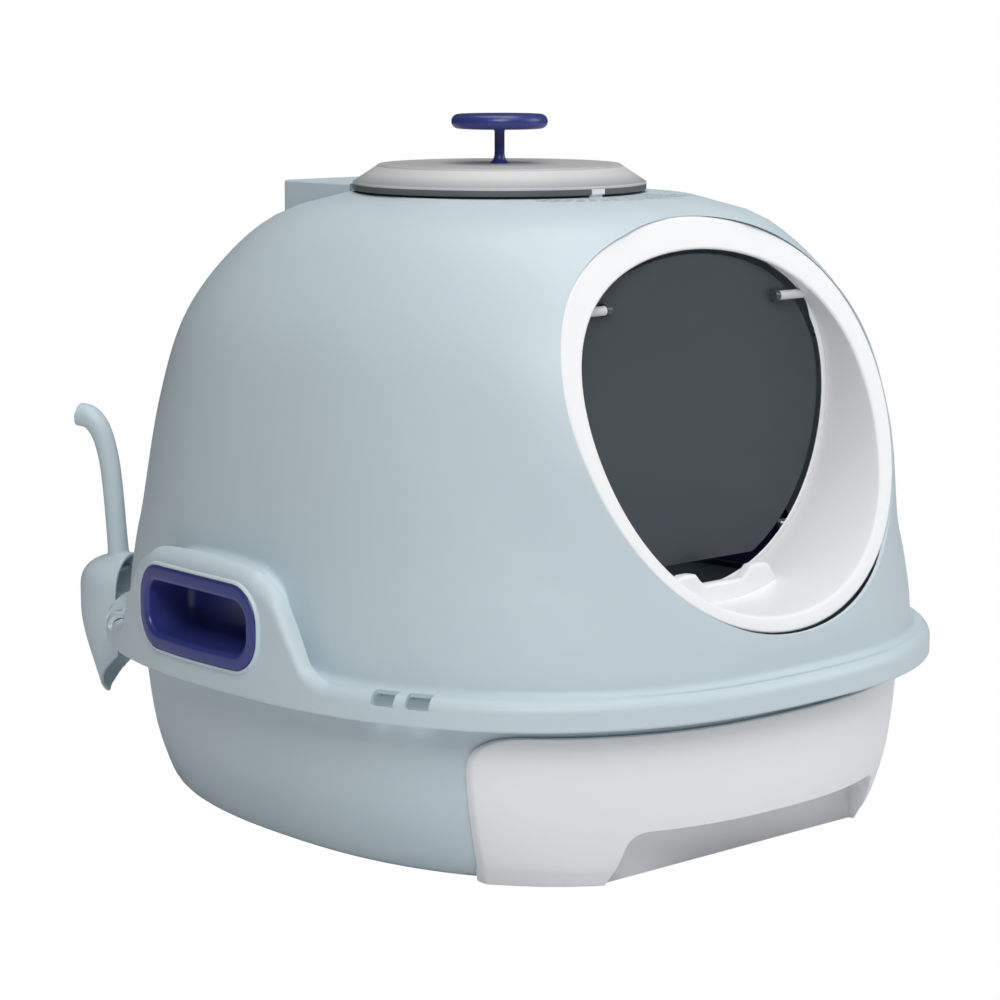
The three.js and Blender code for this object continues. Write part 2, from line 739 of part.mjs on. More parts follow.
// Retaining frame behind the tunnel
function makeFrame() {
  const rearY = frameFrontY + frameThickness;
  const ring = loftSolid([
    onPlane(tunnelEgg, -frameInset, frameFrontY),
    onPlane(tunnelEgg, frameReach, frameFrontY),
    onPlane(tunnelEgg, frameReach, rearY),
    onPlane(tunnelEgg, frameFlare - frameInset, rearY),
  ], true);
  const holes = bossPlaces.map(([x, z]) => (
    rodAlongY(screwShank + clearance, x, z, frameFrontY - overrun, rearY + overrun)
  ));
  const faceRoom = loftSolid([
    onFace(ringEgg, overrun, -rimHalfDepth), onFace(ringEgg, overrun, frameRoomDepth),
  ]);
  return ring.subtract(unite([...holes, pinGrooves(), faceRoom]));
}

// Flap: a thin sheet inside the frame, level at its lower edge, with two lugs for the pins' tips
function makeFlap() {
  const grow = -frameInset - flapGap;
  const front = flapY - flapThickness / 2;
  const back = flapY + flapThickness / 2;
  const floorZ = ringCentreZ + (tunnelLift - tunnelHalfHeight) * Math.cos(ringTilt);
  const bottomZ = floorZ + lipRise + bumpRise + flapBottomRise;
  const sheet = loftSolid([onPlane(tunnelEgg, grow, front), onPlane(tunnelEgg, grow, back)])
    .intersect(block(-rimHalfWidth, rimHalfWidth, front - overrun, back + overrun, bottomZ, deckZ));
  const lugs = [-1, 1].map((side) => {
    const [low, high] = sided(side, pinInner - clearance - lugWidth, pinInner - clearance);
    const round = rodAlongX(lugRadius, frameFrontY, hingeZ, low, high);
    const root = block(low, high, frameFrontY, flapY, hingeZ - lugRadius, hingeZ + lugRadius);
    return round.add(root);
  });
  const bores = [-1, 1].map((side) => rodAlongX(
    pinTipRadius + clearance, frameFrontY, hingeZ, ...sided(side, pinInner - 2 * lugWidth, pinInner + overrun),
  ));
  return unite([sheet, ...lugs]).subtract(unite(bores));
}

// Stepped pin that the flap turns on
function makeFlapPin(side) {
  const body = rodAlongX(pinRadius, frameFrontY, hingeZ, ...sided(side, pinInner, pinOuter), barrelSides);
  const tip = rodAlongX(
    pinTipRadius, frameFrontY, hingeZ, ...sided(side, pinInner - lugWidth, pinInner + lugWidth),
  );
  return body.add(tip);
}

// Pan-head screw along Y: the head's underside at headY, the shank towards the front
function makeScrewY(x, z, headY) {
  const head = rodAlongY(screwHead, x, z, headY, headY + screwHeadHeight);
  return head.add(rodAlongY(screwShank, x, z, headY - screwLength, headY + screwHeadHeight / 2));
}

// Smooth profile of the dome: height share and width share at each level
const domeCurve = new THREE.SplineCurve(
  domeProfileShares.map(([height, width]) => new THREE.Vector2(height, width)),
);
const domeShares = Array.from({ length: domeLevels }, (_, i) => domeCurve.getPoint(i / (domeLevels - 1)));

// Moves a point on the front of the dome forwards, so that the dome meets the edge of the entry ring
function swellFront(point) {
  const height = THREE.MathUtils.clamp((point.z - rimTop) / domeHeight, 0, 1);
  const k = Math.max(1, swellHeightShares.findIndex(([share]) => share >= height));
  const [low, high] = [swellHeightShares[k - 1], swellHeightShares[k]];
  const most = swellMost * THREE.MathUtils.mapLinear(height, low[0], high[0], low[1], high[1]);
  const rise = ((point.z - ringCentreZ) / Math.cos(ringTilt) - ringLift) / ringHalfHeight;
  const width = ringHalfWidth * (1 + ringEggShares[0] * rise + ringEggShares[1] * rise ** 2);
  const away = (Math.hypot(point.x / width, rise) - 1) * ringHalfHeight;
  const fade = 1 - THREE.MathUtils.smoothstep(away, 0, swellReach);
  return point.setY(point.y - most * fade * THREE.MathUtils.smoothstep(-point.y, 0, swellStart));
}

// Solid of the dome with its surface moved in by an inset, standing on the rim's bottom
function domeSolid(inset, footZ, count) {
  const rings = domeShares.map(({ x: height, y: width }) => planRing(
    rimTop + height * (domeHeight - inset),
    (domeHalfWidth - inset) * width,
    (domeHalfDepth - inset) * width,
    domePower,
    0,
    count,
  ).map(swellFront));
  const foot = planRing(footZ, domeHalfWidth - inset, domeHalfDepth - inset, domePower, 0, count);
  return loftSolid([foot, ...rings]);
}

// Solid of the rim with its surface moved in by an inset
function rimSolid(inset, footZ) {
  const ring = (z, more) => rimRing(z, inset + more);
  const top = rimTop - inset;
  const round = rimShoulder - inset;
  const soft = round * roundShare;
  return loftSolid([ring(footZ, 0), ring(top - round, 0), ring(top - soft, soft), ring(top, round)]);
}

// Fillet where the dome meets the ledge
function filletSolid() {
  const ring = (z, more) => planRing(z, domeHalfWidth + more, domeHalfDepth + more, domePower);
  return loftSolid([
    ring(rimTop - filletSize, filletSize),
    ring(rimTop + filletSize * filletShare, filletSize * filletShare),
    ring(rimTop + filletSize + wall, -wall),
  ]);
}

// Bell outline of an arch, shrunk by an inset
function archRing(inset, place) {
  const half = archHalfShares.map(([along, up]) => {
    const y = archHalfLength * along - inset * Math.min(1, along * 2);
    return [y, rimTop + archHeight * up - inset * Math.max(archFootShare, up)];
  });
  const foot = [half.at(-1)[0], rimBottom + rimShoulder];
  const right = [...half.slice(1), foot];
  const left = right.map(([y, z]) => [-y, z]).reverse();
  return [half[0], ...right, ...left].map(([y, z]) => place(holdCentreY + y, z));
}

// Arch on the left side: its face follows the rim, with a rounded edge
function archSolid(inset) {
  const ring = (depth, more) => archRing(inset + more, (y, z) => (
    new THREE.Vector3(-rimReachX(y, inset + depth), y, z)
  ));
  const flat = (more, x) => archRing(inset + more, (y, z) => new THREE.Vector3(x, y, z));
  const inside = -domeHalfWidth * archInsideShare;
  const body = loftSolid([
    ring(0, archRound), ring(archRound * roundShare, archRound * roundShare), ring(archRound, 0), flat(0, inside),
  ]);
  const face = loftSolid([rimRing(rimBottom, inset), rimRing(rimTop + archHeight, inset)])
    .intersect(loftSolid([flat(archRound, -rimHalfWidth - overrun), flat(archRound, inside)]));
  return body.add(face);
}

// Low block behind the lid
function rearBlock(inset, lowZ) {
  const top = deckZ + blockRise - inset;
  const half = blockHalfWidth - inset;
  const rear = lidAxisY + blockBack - inset;
  const round = blockGap * 2;
  const shape = new THREE.Shape();
  shape.moveTo(-half, 0);
  shape.lineTo(half, 0);
  shape.lineTo(half, rear - round);
  shape.quadraticCurveTo(half, rear, half - round, rear);
  shape.lineTo(-half + round, rear);
  shape.quadraticCurveTo(-half, rear, -half, rear - round);
  shape.closePath();
  const ring = (z, more) => shapeRing(shape, (point) => new THREE.Vector3(
    point.x * (1 - more / half), point.y * (1 - more / rear), z,
  ), cornerDivisions);
  const edge = blockGap / 2;
  const body = loftSolid([ring(lowZ, 0), ring(top - edge, 0), ring(top, edge)]);
  const lidRoom = turned(rodProfile(lidRadius + blockGap + inset, lowZ - overrun, top + overrun), 0, lidAxisY);
  return body.subtract(lidRoom);
}

// Diamond-shaped air slots in curved rows on the deck in front of the lid
function ventSlots() {
  const slots = [];
  for (let row = 0; row < ventRows; row += 1) {
    const count = ventHalfCount * 2 + 1 - (row % 2);
    for (let i = 0; i < count; i += 1) {
      const turn = (i - (count - 1) / 2) * ventTurn;
      const radius = ventRadius + row * ventPitch;
      const geometry = new THREE.CylinderGeometry(ventSize, ventSize, ventDepth, ventSides);
      geometry.rotateX(Math.PI / 2).rotateZ(turn);
      geometry.translate(radius * Math.sin(turn), lidAxisY - radius * Math.cos(turn), deckZ);
      slots.push(solid(geometry));
    }
  }
  return unite(slots);
}

// Ears on the rear block that hold the lid's pin
function lidEars() {
  const ears = [-1, 1].map((side) => {
    const [low, high] = sided(side, knuckleHalf + clearance, earHalf);
    const round = rodAlongX(knuckleRadius, hingeY, lidHingeZ, low, high, barrelSides);
    return round.add(block(low, high, hingeY - knuckleRadius, hingeY + knuckleRadius, deckZ - wall / 2, lidHingeZ));
  });
  const bore = rodAlongX(hingePinRadius + clearance, hingeY, lidHingeZ, -earHalf - overrun, earHalf + overrun);
  return unite(ears).subtract(bore);
}

// Hole through the arch and the dome for a hand-hold cup
function cupHole() {
  const grow = clearance - cupBorder + cupWall;
  const deep = domeHalfWidth - cupDepth;
  return loftSolid([cupRing(grow, () => -cupFaceX - overrun), cupRing(grow, () => -deep)]);
}

// Rounded rectangle of a hand-hold cup, with its place across given for each place along
function cupRing(grow, across) {
  const halfY = cupLength / 2 + grow;
  const halfZ = cupHeight / 2 + grow;
  const round = Math.max(cupCorner + grow, cupWall);
  const shape = new THREE.Shape();
  shape.moveTo(-halfY + round, -halfZ);
  shape.quadraticCurveTo(0, -halfZ - cupCrown, halfY - round, -halfZ);
  shape.absarc(halfY - round, -halfZ + round, round, -Math.PI / 2, 0);
  shape.absarc(halfY - round, halfZ - round, round, 0, Math.PI / 2);
  shape.quadraticCurveTo(0, halfZ + cupCrown, -halfY + round, halfZ);
  shape.absarc(-halfY + round, halfZ - round, round, Math.PI / 2, Math.PI);
  shape.absarc(-halfY + round, -halfZ + round, round, Math.PI, 1.5 * Math.PI);
  return shapeRing(shape, (point) => new THREE.Vector3(
    across(holdCentreY + point.x), holdCentreY + point.x, holdCentreZ + point.y,
  ), cornerDivisions);
}

// Hand-hold cup on the left side: flange on the arch's face, deep cup with a closed back
function makeCup() {
  const back = cupDepth - cupFaceX;
  const sunk = (depth) => (y) => depth - cupProud - rimReachX(y);
  return loftSolid([
    cupRing(-cupBorder + cupWall, () => back),
    cupRing(-cupBorder + cupWall, sunk(cupFlange)),
    cupRing(0, sunk(cupFlange)),
    cupRing(0, sunk(cupEdge)),
    cupRing(-cupEdge, sunk(0)),
    cupRing(cupEdge - cupBorder, sunk(0)),
    cupRing(-cupBorder, sunk(cupEdge)),
    cupRing(-cupBorder, () => back - cupWall),
  ]);
}

// Point on the rim where the scoop hangs, and the placement of things built there
const scoopNormal = new THREE.Vector2(Math.cos(scoopTurn), Math.sin(scoopTurn));
function scoopPlace() {
  const dual = rimRearPower / (rimRearPower - 1);
  const [a, b] = [rimHalfWidth * Math.abs(scoopNormal.x), rimHalfDepth * scoopNormal.y];
  const support = (a ** dual + b ** dual) ** (1 / dual);
  return new THREE.Vector2(
    Math.sign(scoopNormal.x) * rimHalfWidth * (a / support) ** (dual - 1),
    rimHalfDepth * (b / support) ** (dual - 1),
  );
}

// Hook that the scoop hangs on, built outwards along +X from the rim
function scoopHook() {
  const half = scoopHookWidth / 2;
  const low = rimTop - rimShoulder - scoopHookThickness;
  const arm = block(-wall / 2, scoopHookReach, -half, half, low, low + scoopHookThickness);
  const tongue = block(scoopHookReach - scoopHookThickness, scoopHookReach, -half, half, low, low + scoopHookHeight);
  return arm.add(tongue);
}

// Hood: dome, rim, arches and rear block as one shell with all its openings
function makeHood() {
  const footZ = rimBottom;
  const outerArch = archSolid(0);
  const innerArch = archSolid(wall);
  const outer = unite([
    domeSolid(0, footZ, planPoints), rimSolid(0, footZ), filletSolid(),
    outerArch, mirrored(outerArch), rearBlock(0, deckZ - blockRoot),
  ]);
  const inner = unite([
    domeSolid(wall, footZ - overrun, insidePoints), rimSolid(wall, footZ - overrun),
    innerArch, mirrored(innerArch), rearBlock(wall, deckZ - blockRoot - wall),
  ]);
  const place = scoopPlace();
  const hook = scoopHook().rotate([0, 0, THREE.MathUtils.radToDeg(scoopTurn)]).translate([place.x, place.y, 0]);
  const entry = loftSolid([
    onPlane(ringEgg, clearance, -rimHalfDepth - overrun),
    onPlane(ringEgg, clearance, ringCentreY + ringSkirt + clearance + (ringHalfHeight + ringLift) * Math.sin(ringTilt)),
  ]);
  const crown = turned(rodProfile(filterTubRadius + clearance, deckZ - 2 * overrun, deckZ + overrun), 0, lidAxisY);
  const hole = cupHole();
  const windows = windowPlaces.map((spot) => (
    rimBlock(spot, windowLength, -overrun, windowReach, rimTop - windowDrop, rimTop + overrun)
  ));
  return unite([outer.subtract(inner), hook, lidEars()])
    .subtract(unite([entry, crown, hole, mirrored(hole), ...windows, ventSlots()]));
}

// Lid: flat top, bevel and skirt as one thin shell, with a hinge tongue and a window for the catch
function makeLid() {
  const bevelLow = lidBottomZ + lidSkirt;
  const shell = turned([
    [knobFoot / 2, lidTopZ], [lidTopRadius, lidTopZ], [lidRadius, bevelLow], [lidRadius, lidBottomZ],
    [lidRadius - lidWall, lidBottomZ], [lidRadius - lidWall, bevelLow - lidWall / 2],
    [lidTopRadius - lidWall / 2, lidTopZ - lidWall], [knobFoot / 2, lidTopZ - lidWall], [knobFoot / 2, lidTopZ],
  ], 0, lidAxisY, lidSteps);
  const tongueTop = lidHingeZ + knuckleRadius / 2;
  const tongue = block(
    -knuckleHalf, knuckleHalf, lidAxisY + lidRadius - lidWall, hingeY, tongueTop - lidWall - lidFoot, tongueTop,
  );
  const barrel = rodAlongX(knuckleRadius, hingeY, lidHingeZ, -knuckleHalf, knuckleHalf, barrelSides);
  const bore = rodAlongX(hingePinRadius + clearance, hingeY, lidHingeZ, -earHalf, earHalf);
  const window = block(
    -catchWindowWidth / 2, catchWindowWidth / 2, lidAxisY - lidRadius - overrun, lidAxisY - lidRadius + overrun,
    lidBottomZ + clearance * 2, lidBottomZ + clearance * 2 + catchWindowHeight,
  );
  return unite([shell, tongue, barrel]).subtract(unite([bore, window]));
}

// Catch on the deck, just inside the lid's window
function makeLidCatch() {
  const face = lidAxisY - lidRadius + lidWall + catchGap;
  const half = catchWindowWidth / 2 - clearance;
  return block(-half, half, face, face + catchDepth, deckZ + clearance, lidBottomZ + lidSkirt - lidWall);
}

// Seal ring on the deck inside the skirt, left open at the catch
function makeSeal() {
  const outer = lidRadius - lidWall - 2 * clearance;
  const low = deckZ + clearance;
  const ring = turned([
    [outer - sealWidth, low], [outer, low], [outer, low + sealHeight],
    [outer - sealWidth, low + sealHeight], [outer - sealWidth, low],
  ], 0, lidAxisY, lidSteps);
  const half = catchWindowWidth / 2;
  return ring.subtract(block(-half, half, lidAxisY - lidRadius, lidAxisY - lidRadius / 2, low - overrun, lidTopZ));
}

// Knob: rounded disc on a slim stem with a flared foot, bored from below for its screw
function makeKnob() {
  const foot = lidTopZ + clearance;
  const discLow = foot + knobRise;
  const round = knobThickness / 2;
  const rim = Array.from({ length: knobEdgeSteps + 1 }, (_, i) => {
    const turn = -Math.PI / 2 + (Math.PI * i) / knobEdgeSteps;
    return [knobRadius - round + round * Math.cos(turn), discLow + round + round * Math.sin(turn)];
  });
  const knob = turned([
    [0, foot], [knobFoot, foot],
    [knobFoot * knobFlareShares[0], foot + knobFoot * knobFlareShares[1]], [knobStem, foot + knobFoot],
    [knobStem, discLow], ...rim, [0, discLow + knobThickness],
  ], 0, lidAxisY);
  const bore = rodProfile(screwShank + clearance, foot - overrun, foot + knobScrewLength);
  return knob.subtract(turned(bore, 0, lidAxisY, barrelSides));
}

// Screw that holds the knob from under the lid
function makeKnobScrew() {
  const headTop = lidTopZ - lidWall - clearance;
  return turned([
    [0, headTop - screwHeadHeight], [knobScrewHead, headTop - screwHeadHeight], [knobScrewHead, headTop],
    [screwShank, headTop], [screwShank, headTop + knobScrewLength - lidWall],
    [0, headTop + knobScrewLength - lidWall],
  ], 0, lidAxisY, barrelSides);
}

// Slotted tray that hangs in the crown opening
function makeFilterTray() {
  const flangeZ = deckZ + clearance;
  const floorZ = flangeZ - filterTubDepth;
  const tub = turned([
    [0, floorZ], [filterTubRadius - filterWall, floorZ], [filterTubRadius, floorZ + filterWall],
    [filterTubRadius, flangeZ], [filterFlangeRadius, flangeZ], [filterFlangeRadius, flangeZ + filterFlangeHeight],
    [filterTubRadius - filterWall, flangeZ + filterFlangeHeight], [filterTubRadius - filterWall, floorZ + filterWall],
    [0, floorZ + filterWall],
  ], 0, lidAxisY);
  const count = 2 * Math.floor((filterTubRadius - filterSlotPitch) / filterSlotPitch) + 1;
  const slots = Array.from({ length: count }, (_, i) => {
    const x = (i - (count - 1) / 2) * filterSlotPitch;
    const half = Math.sqrt((filterTubRadius - filterSlotWidth) ** 2 - x ** 2) - filterSlotWidth;
    return block(
      x - filterSlotWidth / 2, x + filterSlotWidth / 2, lidAxisY - half, lidAxisY + half,
      floorZ - overrun, floorZ + filterWall + clearance / 2,
    );
  });
  return tub.subtract(unite(slots));
}

// Charcoal pad that lies in the tray
function makeFilterPad() {
  const low = deckZ + clearance - filterTubDepth + filterWall + clearance;
  const radius = filterTubRadius - filterWall - clearance;
  const edge = filterWall;
  return turned([
    [0, low], [radius - edge, low], [radius, low + edge], [radius, low + filterPadThickness - edge],
    [radius - edge, low + filterPadThickness], [0, low + filterPadThickness],
  ], 0, lidAxisY);
}

// Scoop built outwards along +X from the rim: a trough open towards the hood, with a curved handle
function makeScoop() {
  const turns = Array.from({ length: bladeSteps + 1 }, (_, i) => bladeTurn * (2 * (i / bladeSteps) - 1));
  const strip = (sink, width, depth) => {
    const arc = (thin) => turns.map((turn) => {
      const edge = Math.abs(turn / bladeTurn);
      const z = bladeTop - sink * (bladeLength - bladeCut * edge ** 2);
      return new THREE.Vector3(bladeOpen + (depth - thin) * Math.cos(turn), (width - thin) * Math.sin(turn), z);
    });
    return [...arc(0), ...arc(bladeWall).reverse()];
  };
  const shoulderShare = bladeShoulder / bladeLength;
  const rings = bladeShoulderShares.map((share) => {
    const swell = Math.sin((share * Math.PI) / 2);
    const width = THREE.MathUtils.lerp(bladeNeck, bladeHalfWidth, swell);
    const depth = THREE.MathUtils.lerp(bladeNeck, bladeDepth, swell);
    return strip(shoulderShare * share * share, width, depth);
  });
  const [tipWidth, tipDepth] = [bladeHalfWidth * bladeTipShares[0], bladeDepth * bladeTipShares[1]];
  rings.push(strip(bladeTaperShare, bladeHalfWidth, bladeDepth));
  rings.push(strip(1, tipWidth, tipDepth));
  const blade = loftSolid(rings);
  const webLow = rimTop - rimShoulder - scoopHookThickness + scoopHookHeight + clearance;
  const web = block(0, rimHalfWidth, -bladeHalfWidth, bladeHalfWidth, webLow, webLow + bladeWall);
  const core = loftSolid(rings.map((ring) => ring.slice(0, turns.length)));
  const rootX = bladeOpen + bladeNeck / 2;
  const path = new THREE.CatmullRomCurve3(handlePathShares.map(([lean, rise]) => (
    new THREE.Vector3(rootX + handleLean * lean, 0, bladeTop + handleRise * rise)
  )));
  const circle = new THREE.Shape().absarc(0, 0, handleRadius, 0, 2 * Math.PI);
  const handle = solid(new THREE.ExtrudeGeometry(circle, {
    steps: handleSteps, curveSegments: handleSides / 2, extrudePath: path,
  }));
  return unite([blade, web.intersect(core), handle]);
}

// Materials
const plastic = (color, roughness, extra = {}) => new THREE.MeshStandardMaterial({
  color, roughness, metalness: 0, ...extra,
});
const shellPlastic = plastic(0xb4c8ce, 0.5);
const whitePlastic = plastic(0xe6e7ea, 0.45);
const bluePlastic = plastic(0x3d4383, 0.4);
const frostedPlastic = plastic(0xc9cbcb, 0.4, { transparent: true, opacity: 0.85 });
const smokyPlastic = plastic(0x4a5256, 0.25, { transparent: true, opacity: 0.9 });
const pinPlastic = plastic(0xc8c9cd, 0.5);
const blackRubber = plastic(0x24272b, 0.8);
const charcoal = plastic(0x2b2c2e, 0.95);
const steel = new THREE.MeshStandardMaterial({ color: 0xb6b8ba, roughness: 0.35, metalness: 1 });

const litterBox = new THREE.Group();

function addPiece(name, manifold, material, parent = litterBox) {
  const mesh = new THREE.Mesh(geometryOf(manifold), material);
  mesh.name = name;
  parent.add(mesh);
  return mesh;
}

addPiece('base_shell', makePan(), shellPlastic);
addPiece('litter_tray', makeTray(), whitePlastic);
addPiece('drawer_front', makeDrawerFront(), whitePlastic);
addPiece('hood_shell', makeHood(), shellPlastic);
addPiece('entry_collar', makeCollar(), whitePlastic);
addPiece('flap_frame', makeFrame(), whitePlastic);
addPiece('entry_flap', makeFlap(), smokyPlastic);
const cup = makeCup();
addPiece('handle_insert_left', cup, bluePlastic);
addPiece('handle_insert_right', mirrored(cup), bluePlastic);
['left', 'right'].forEach((name, i) => {
  const side = 2 * i - 1;
  addPiece(`flap_pin_${name}`, makeFlapPin(side), pinPlastic);
  const headY = trayFrontY + trayWall + clearance;
  addPiece(`drawer_screw_${name}`, makeScrewY(side * screwX, screwZ, headY), steel);
});
bossPlaces.forEach(([x, z], i) => {
  const headY = frameFrontY + frameThickness + clearance;
  addPiece(`collar_screw_${i + 1}`, makeScrewY(x, z, headY), steel);
});
addPiece('vent_lid', makeLid(), frostedPlastic);
addPiece('lid_hinge_pin', rodAlongX(hingePinRadius, hingeY, lidHingeZ, -earHalf, earHalf), steel);
addPiece('lid_knob', makeKnob(), bluePlastic);
addPiece('knob_screw', makeKnobScrew(), steel);
addPiece('lid_seal', makeSeal(), blackRubber);
addPiece('lid_catch', makeLidCatch(), whitePlastic);
addPiece('filter_tray', makeFilterTray(), whitePlastic);
addPiece('charcoal_filter', makeFilterPad(), charcoal);

// The scoop hangs on its hook, turned to face the rim where it hangs.
const scoopGroup = new THREE.Group();
const hangPoint = scoopPlace();
scoopGroup.position.set(hangPoint.x, hangPoint.y, 0);
scoopGroup.rotation.z = scoopTurn;
litterBox.add(scoopGroup);
addPiece('scoop', makeScoop(), shellPlastic, scoopGroup);

export default litterBox;
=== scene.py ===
import math

import bmesh
import bpy
import numpy as np
from mathutils import Matrix, Vector


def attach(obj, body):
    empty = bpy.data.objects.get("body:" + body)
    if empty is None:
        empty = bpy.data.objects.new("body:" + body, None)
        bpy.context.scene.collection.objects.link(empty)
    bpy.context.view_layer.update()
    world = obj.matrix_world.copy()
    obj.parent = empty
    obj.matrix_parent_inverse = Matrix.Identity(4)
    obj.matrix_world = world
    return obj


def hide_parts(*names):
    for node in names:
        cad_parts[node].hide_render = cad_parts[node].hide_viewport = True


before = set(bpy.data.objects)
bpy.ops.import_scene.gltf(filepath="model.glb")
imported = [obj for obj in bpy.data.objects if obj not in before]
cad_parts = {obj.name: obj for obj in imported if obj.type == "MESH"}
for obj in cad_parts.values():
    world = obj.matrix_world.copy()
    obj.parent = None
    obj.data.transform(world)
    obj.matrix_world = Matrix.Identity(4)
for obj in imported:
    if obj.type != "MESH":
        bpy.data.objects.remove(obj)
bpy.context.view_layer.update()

# ---- sizes, in millimetres
MM = 0.001
WALL, DECK_WALL, GAP = 2.6, 0.9, 0.3

# Hood: half width, half depth and power of the superellipses of rim and dome; shares of height and width
RIM_A, RIM_B, RIM_P, RIM_REAR_P = 253.8, 274.4, 2.45, 2.5
RIM_BOTTOM, RIM_TOP, RIM_ROUND, HOOD_FOOT = 107.6, 127.0, 8.0, 108.4
DOME_A, DOME_B, DOME_P, DOME_HEIGHT = 231.0, 259.0, 2.5, 284.6
DECK_Z = RIM_TOP + DOME_HEIGHT
DOME_SHARES = [
    (0, 1.018), (0.08, 1.014), (0.18, 0.997), (0.25, 0.981), (0.5, 0.932), (0.7, 0.863), (0.85, 0.745),
    (0.95, 0.605), (1, 0.42),
]
# How far the dome's front comes forward round the ring
SWELL_SHARES = [(0, 0.1), (0.1, 0.1), (0.3, 0.2), (0.5, 0.31), (0.85, 0.31), (0.94, 0.5), (1, 1)]
SWELL_MOST, SWELL_REACH, SWELL_START = 26.0, 50.0, 120.0

# Hand-holds in their arches, and snap windows
HOLD_Y, HOLD_Z = 20.5, 152.2
ARCH_HALF, ARCH_HEIGHT = 112.0, 65.3
ARCH_SHARES = [
    (-0.42, 0.965), (0, 1), (0.42, 0.965), (0.56, 0.89), (0.7, 0.735), (0.84, 0.345), (0.92, 0.12), (1, 0.03),
    (1.06, 0), (1.12, 0),
]
ARCH_NARROW, ARCH_SINK = 0.18, 0.06
WINDOW_Y = (-161.3, -140.0, 158.5, 183.5)
WINDOW_Z, WINDOW_HALF, WINDOW_HALF_HEIGHT = 128.8, 7.75, 10.2
CUP_HALF_Y, CUP_HALF_Z, CUP_BORDER, CUP_CORNER, CUP_CROWN = 64.8, 26.4, 10.0, 22.0, 1.0

# Pan and the drawer's mouth in it
PAN_A, PAN_TAPER, PAN_EXTRA, PAN_SHIFT, PAN_P = 232.4, 42.1, 35.4, 3.2, 2.38
PAN_SHARES = [(0, 1), (0.028, 0.816), (0.084, 0.626), (0.187, 0.48), (0.42, 0.266), (0.7, 0.112), (1, 0)]
PAN_TOP = 124.1
FLANGE_IN, RUNNER_X, RUNNER_HALF, RUNNER_FRONT, RUNNER_REAR = 4.4, 110, 2.5, -192, 177
MOUTH_HALF_X, MOUTH_HALF_Z, MOUTH_Z = 150.8, 43.2, 46.1
SILL_HALF_X, SILL_HALF_Z, SILL_Z = 118.1, 47, 42.3

# Entry: ring, tunnel, frame, flap and its pins
RING_TILT, RING_Z, RING_Y = 0.3738, 264.1, -216.2
RING_EGG = (139.1, 134.9, 14.1, 0.106, 0.086)
TUNNEL_EGG = (124.3, 118.5, 8.7, 0.091, 0.118)
TUNNEL_Y = -170.0
HINGE_Y, HINGE_Z, PIN_GROOVE_R = -169.7, 349.0, 3.3
TUNNEL_FLOOR = RING_Z + (TUNNEL_EGG[2] - TUNNEL_EGG[1]) * math.cos(RING_TILT)
FLAP_LIFT, FLAP_INSET, FLAP_DRAWN_IN, FLAP_FOOT = 1.6, 4.6, 1.4, 20.2
FRAME_DEPTH, FRAME_OUT = 9, 13.0
LIP_LOW, LIP_HIGH, LIP_Y, LIP_HALF_DEPTH, LIP_HALF_WIDTH = 12.5, 20.5, -195.5, 4.5, 48

# Crown: lid, its hinge and the block behind it, air slots, catch and knob
LID_Y = 15.0
HINGE_BAR_Y, HINGE_BAR_Z = 119.0, 418.6
HINGE_BAR_R, HINGE_BORE_R, EAR_START, EAR_WIDTH = 3.9, 1.9, 10.3, 9.7
BLOCK_Y, BLOCK_HALF, BLOCK_CORNER = LID_Y + 73, (70, 77), 5
BLOCK_LEVELS = [(352, 1), (414.3, 1), (415.2, 0.997), (415.7, 0.99), (415.9, 0.98)]
CROWN_HOLE_R = 84.3
SLOT_ROWS, SLOT_MOST, SLOT_STEP = (105.2, 113.6, 122.0, 130.4), 15, 0.072
SLOT_SHAPE = [(3.2, 0), (0.8, 3.7), (-0.8, 3.7), (-3.2, 0), (-0.8, -3.7), (0.8, -3.7)]
# The lid's shell as (radius, height): from the middle out and down its outside, then back up its inside
LID_OUTSIDE = [
    (3.4, 430.3), (66, 430.3), (81, 430.2), (82, 429.9), (82.6, 429.2), (83.6, 428.6), (97.6, 419.4),
    (98.6, 418.9), (99, 418.2), (99, 413.8), (98.6, 413.2),
]
LID_INSIDE = [
    (97.4, 413.2), (97, 413.7), (97, 417.2), (96.4, 418.3), (83.4, 426.8), (81, 428.2), (78, 428.3),
    (3.4, 428.3),
]
CATCH = (-7.9, 3.7, 413.2, 417.4)
KNOB_FOOT, KNOB_DISC, KNOB_R, KNOB_HALF, KNOB_STEM_R = 430.6, 453.6, 32.5, 4.9, 3.4

# Drawer: front with its grip notch, and tray
NOTCH_HALF, NOTCH_TAPER, NOTCH_TOP, NOTCH_BACK = 115.5, 4.5, 37.2, -207.0
FRONT_HALF, FRONT_TAPER, FRONT_BOW, FRONT_TOP, FRONT_CORNER = 189.6, 22.6, 2.1, 99.6, 20.0
FRONT_PROUD_LOW, FRONT_PROUD_HIGH = 5.4, 3.6
FRONT_STRAIGHT_Z, FRONT_SLOPE = 9.0, 0.55
TRAY_FRONT = -204.1
SCREW_X, SCREW_Z, SCREW_BORE_R = 85.3, 61.0, 2.0
TRAY_REAR, TRAY_LOW_HALF, TRAY_HIGH_HALF, TRAY_WALL = 177.9, 137.3, 145.3, 2.4


# ---- curves and sections
def catmull(points, samples):
    """Uniform Catmull-Rom curve through the points, as many samples as asked."""
    p = np.array(points, float)
    t = np.linspace(0, len(p) - 1, samples)
    k = np.minimum(t.astype(int), len(p) - 2)
    w = (t - k)[:, None]
    a, b = p[np.maximum(k - 1, 0)], p[k]
    c, d = p[k + 1], p[np.minimum(k + 2, len(p) - 1)]
    v0, v1 = (c - a) / 2, (d - b) / 2
    return (2 * b - 2 * c + v0 + v1) * w**3 + (-3 * b + 3 * c - 2 * v0 - v1) * w**2 + v0 * w + b


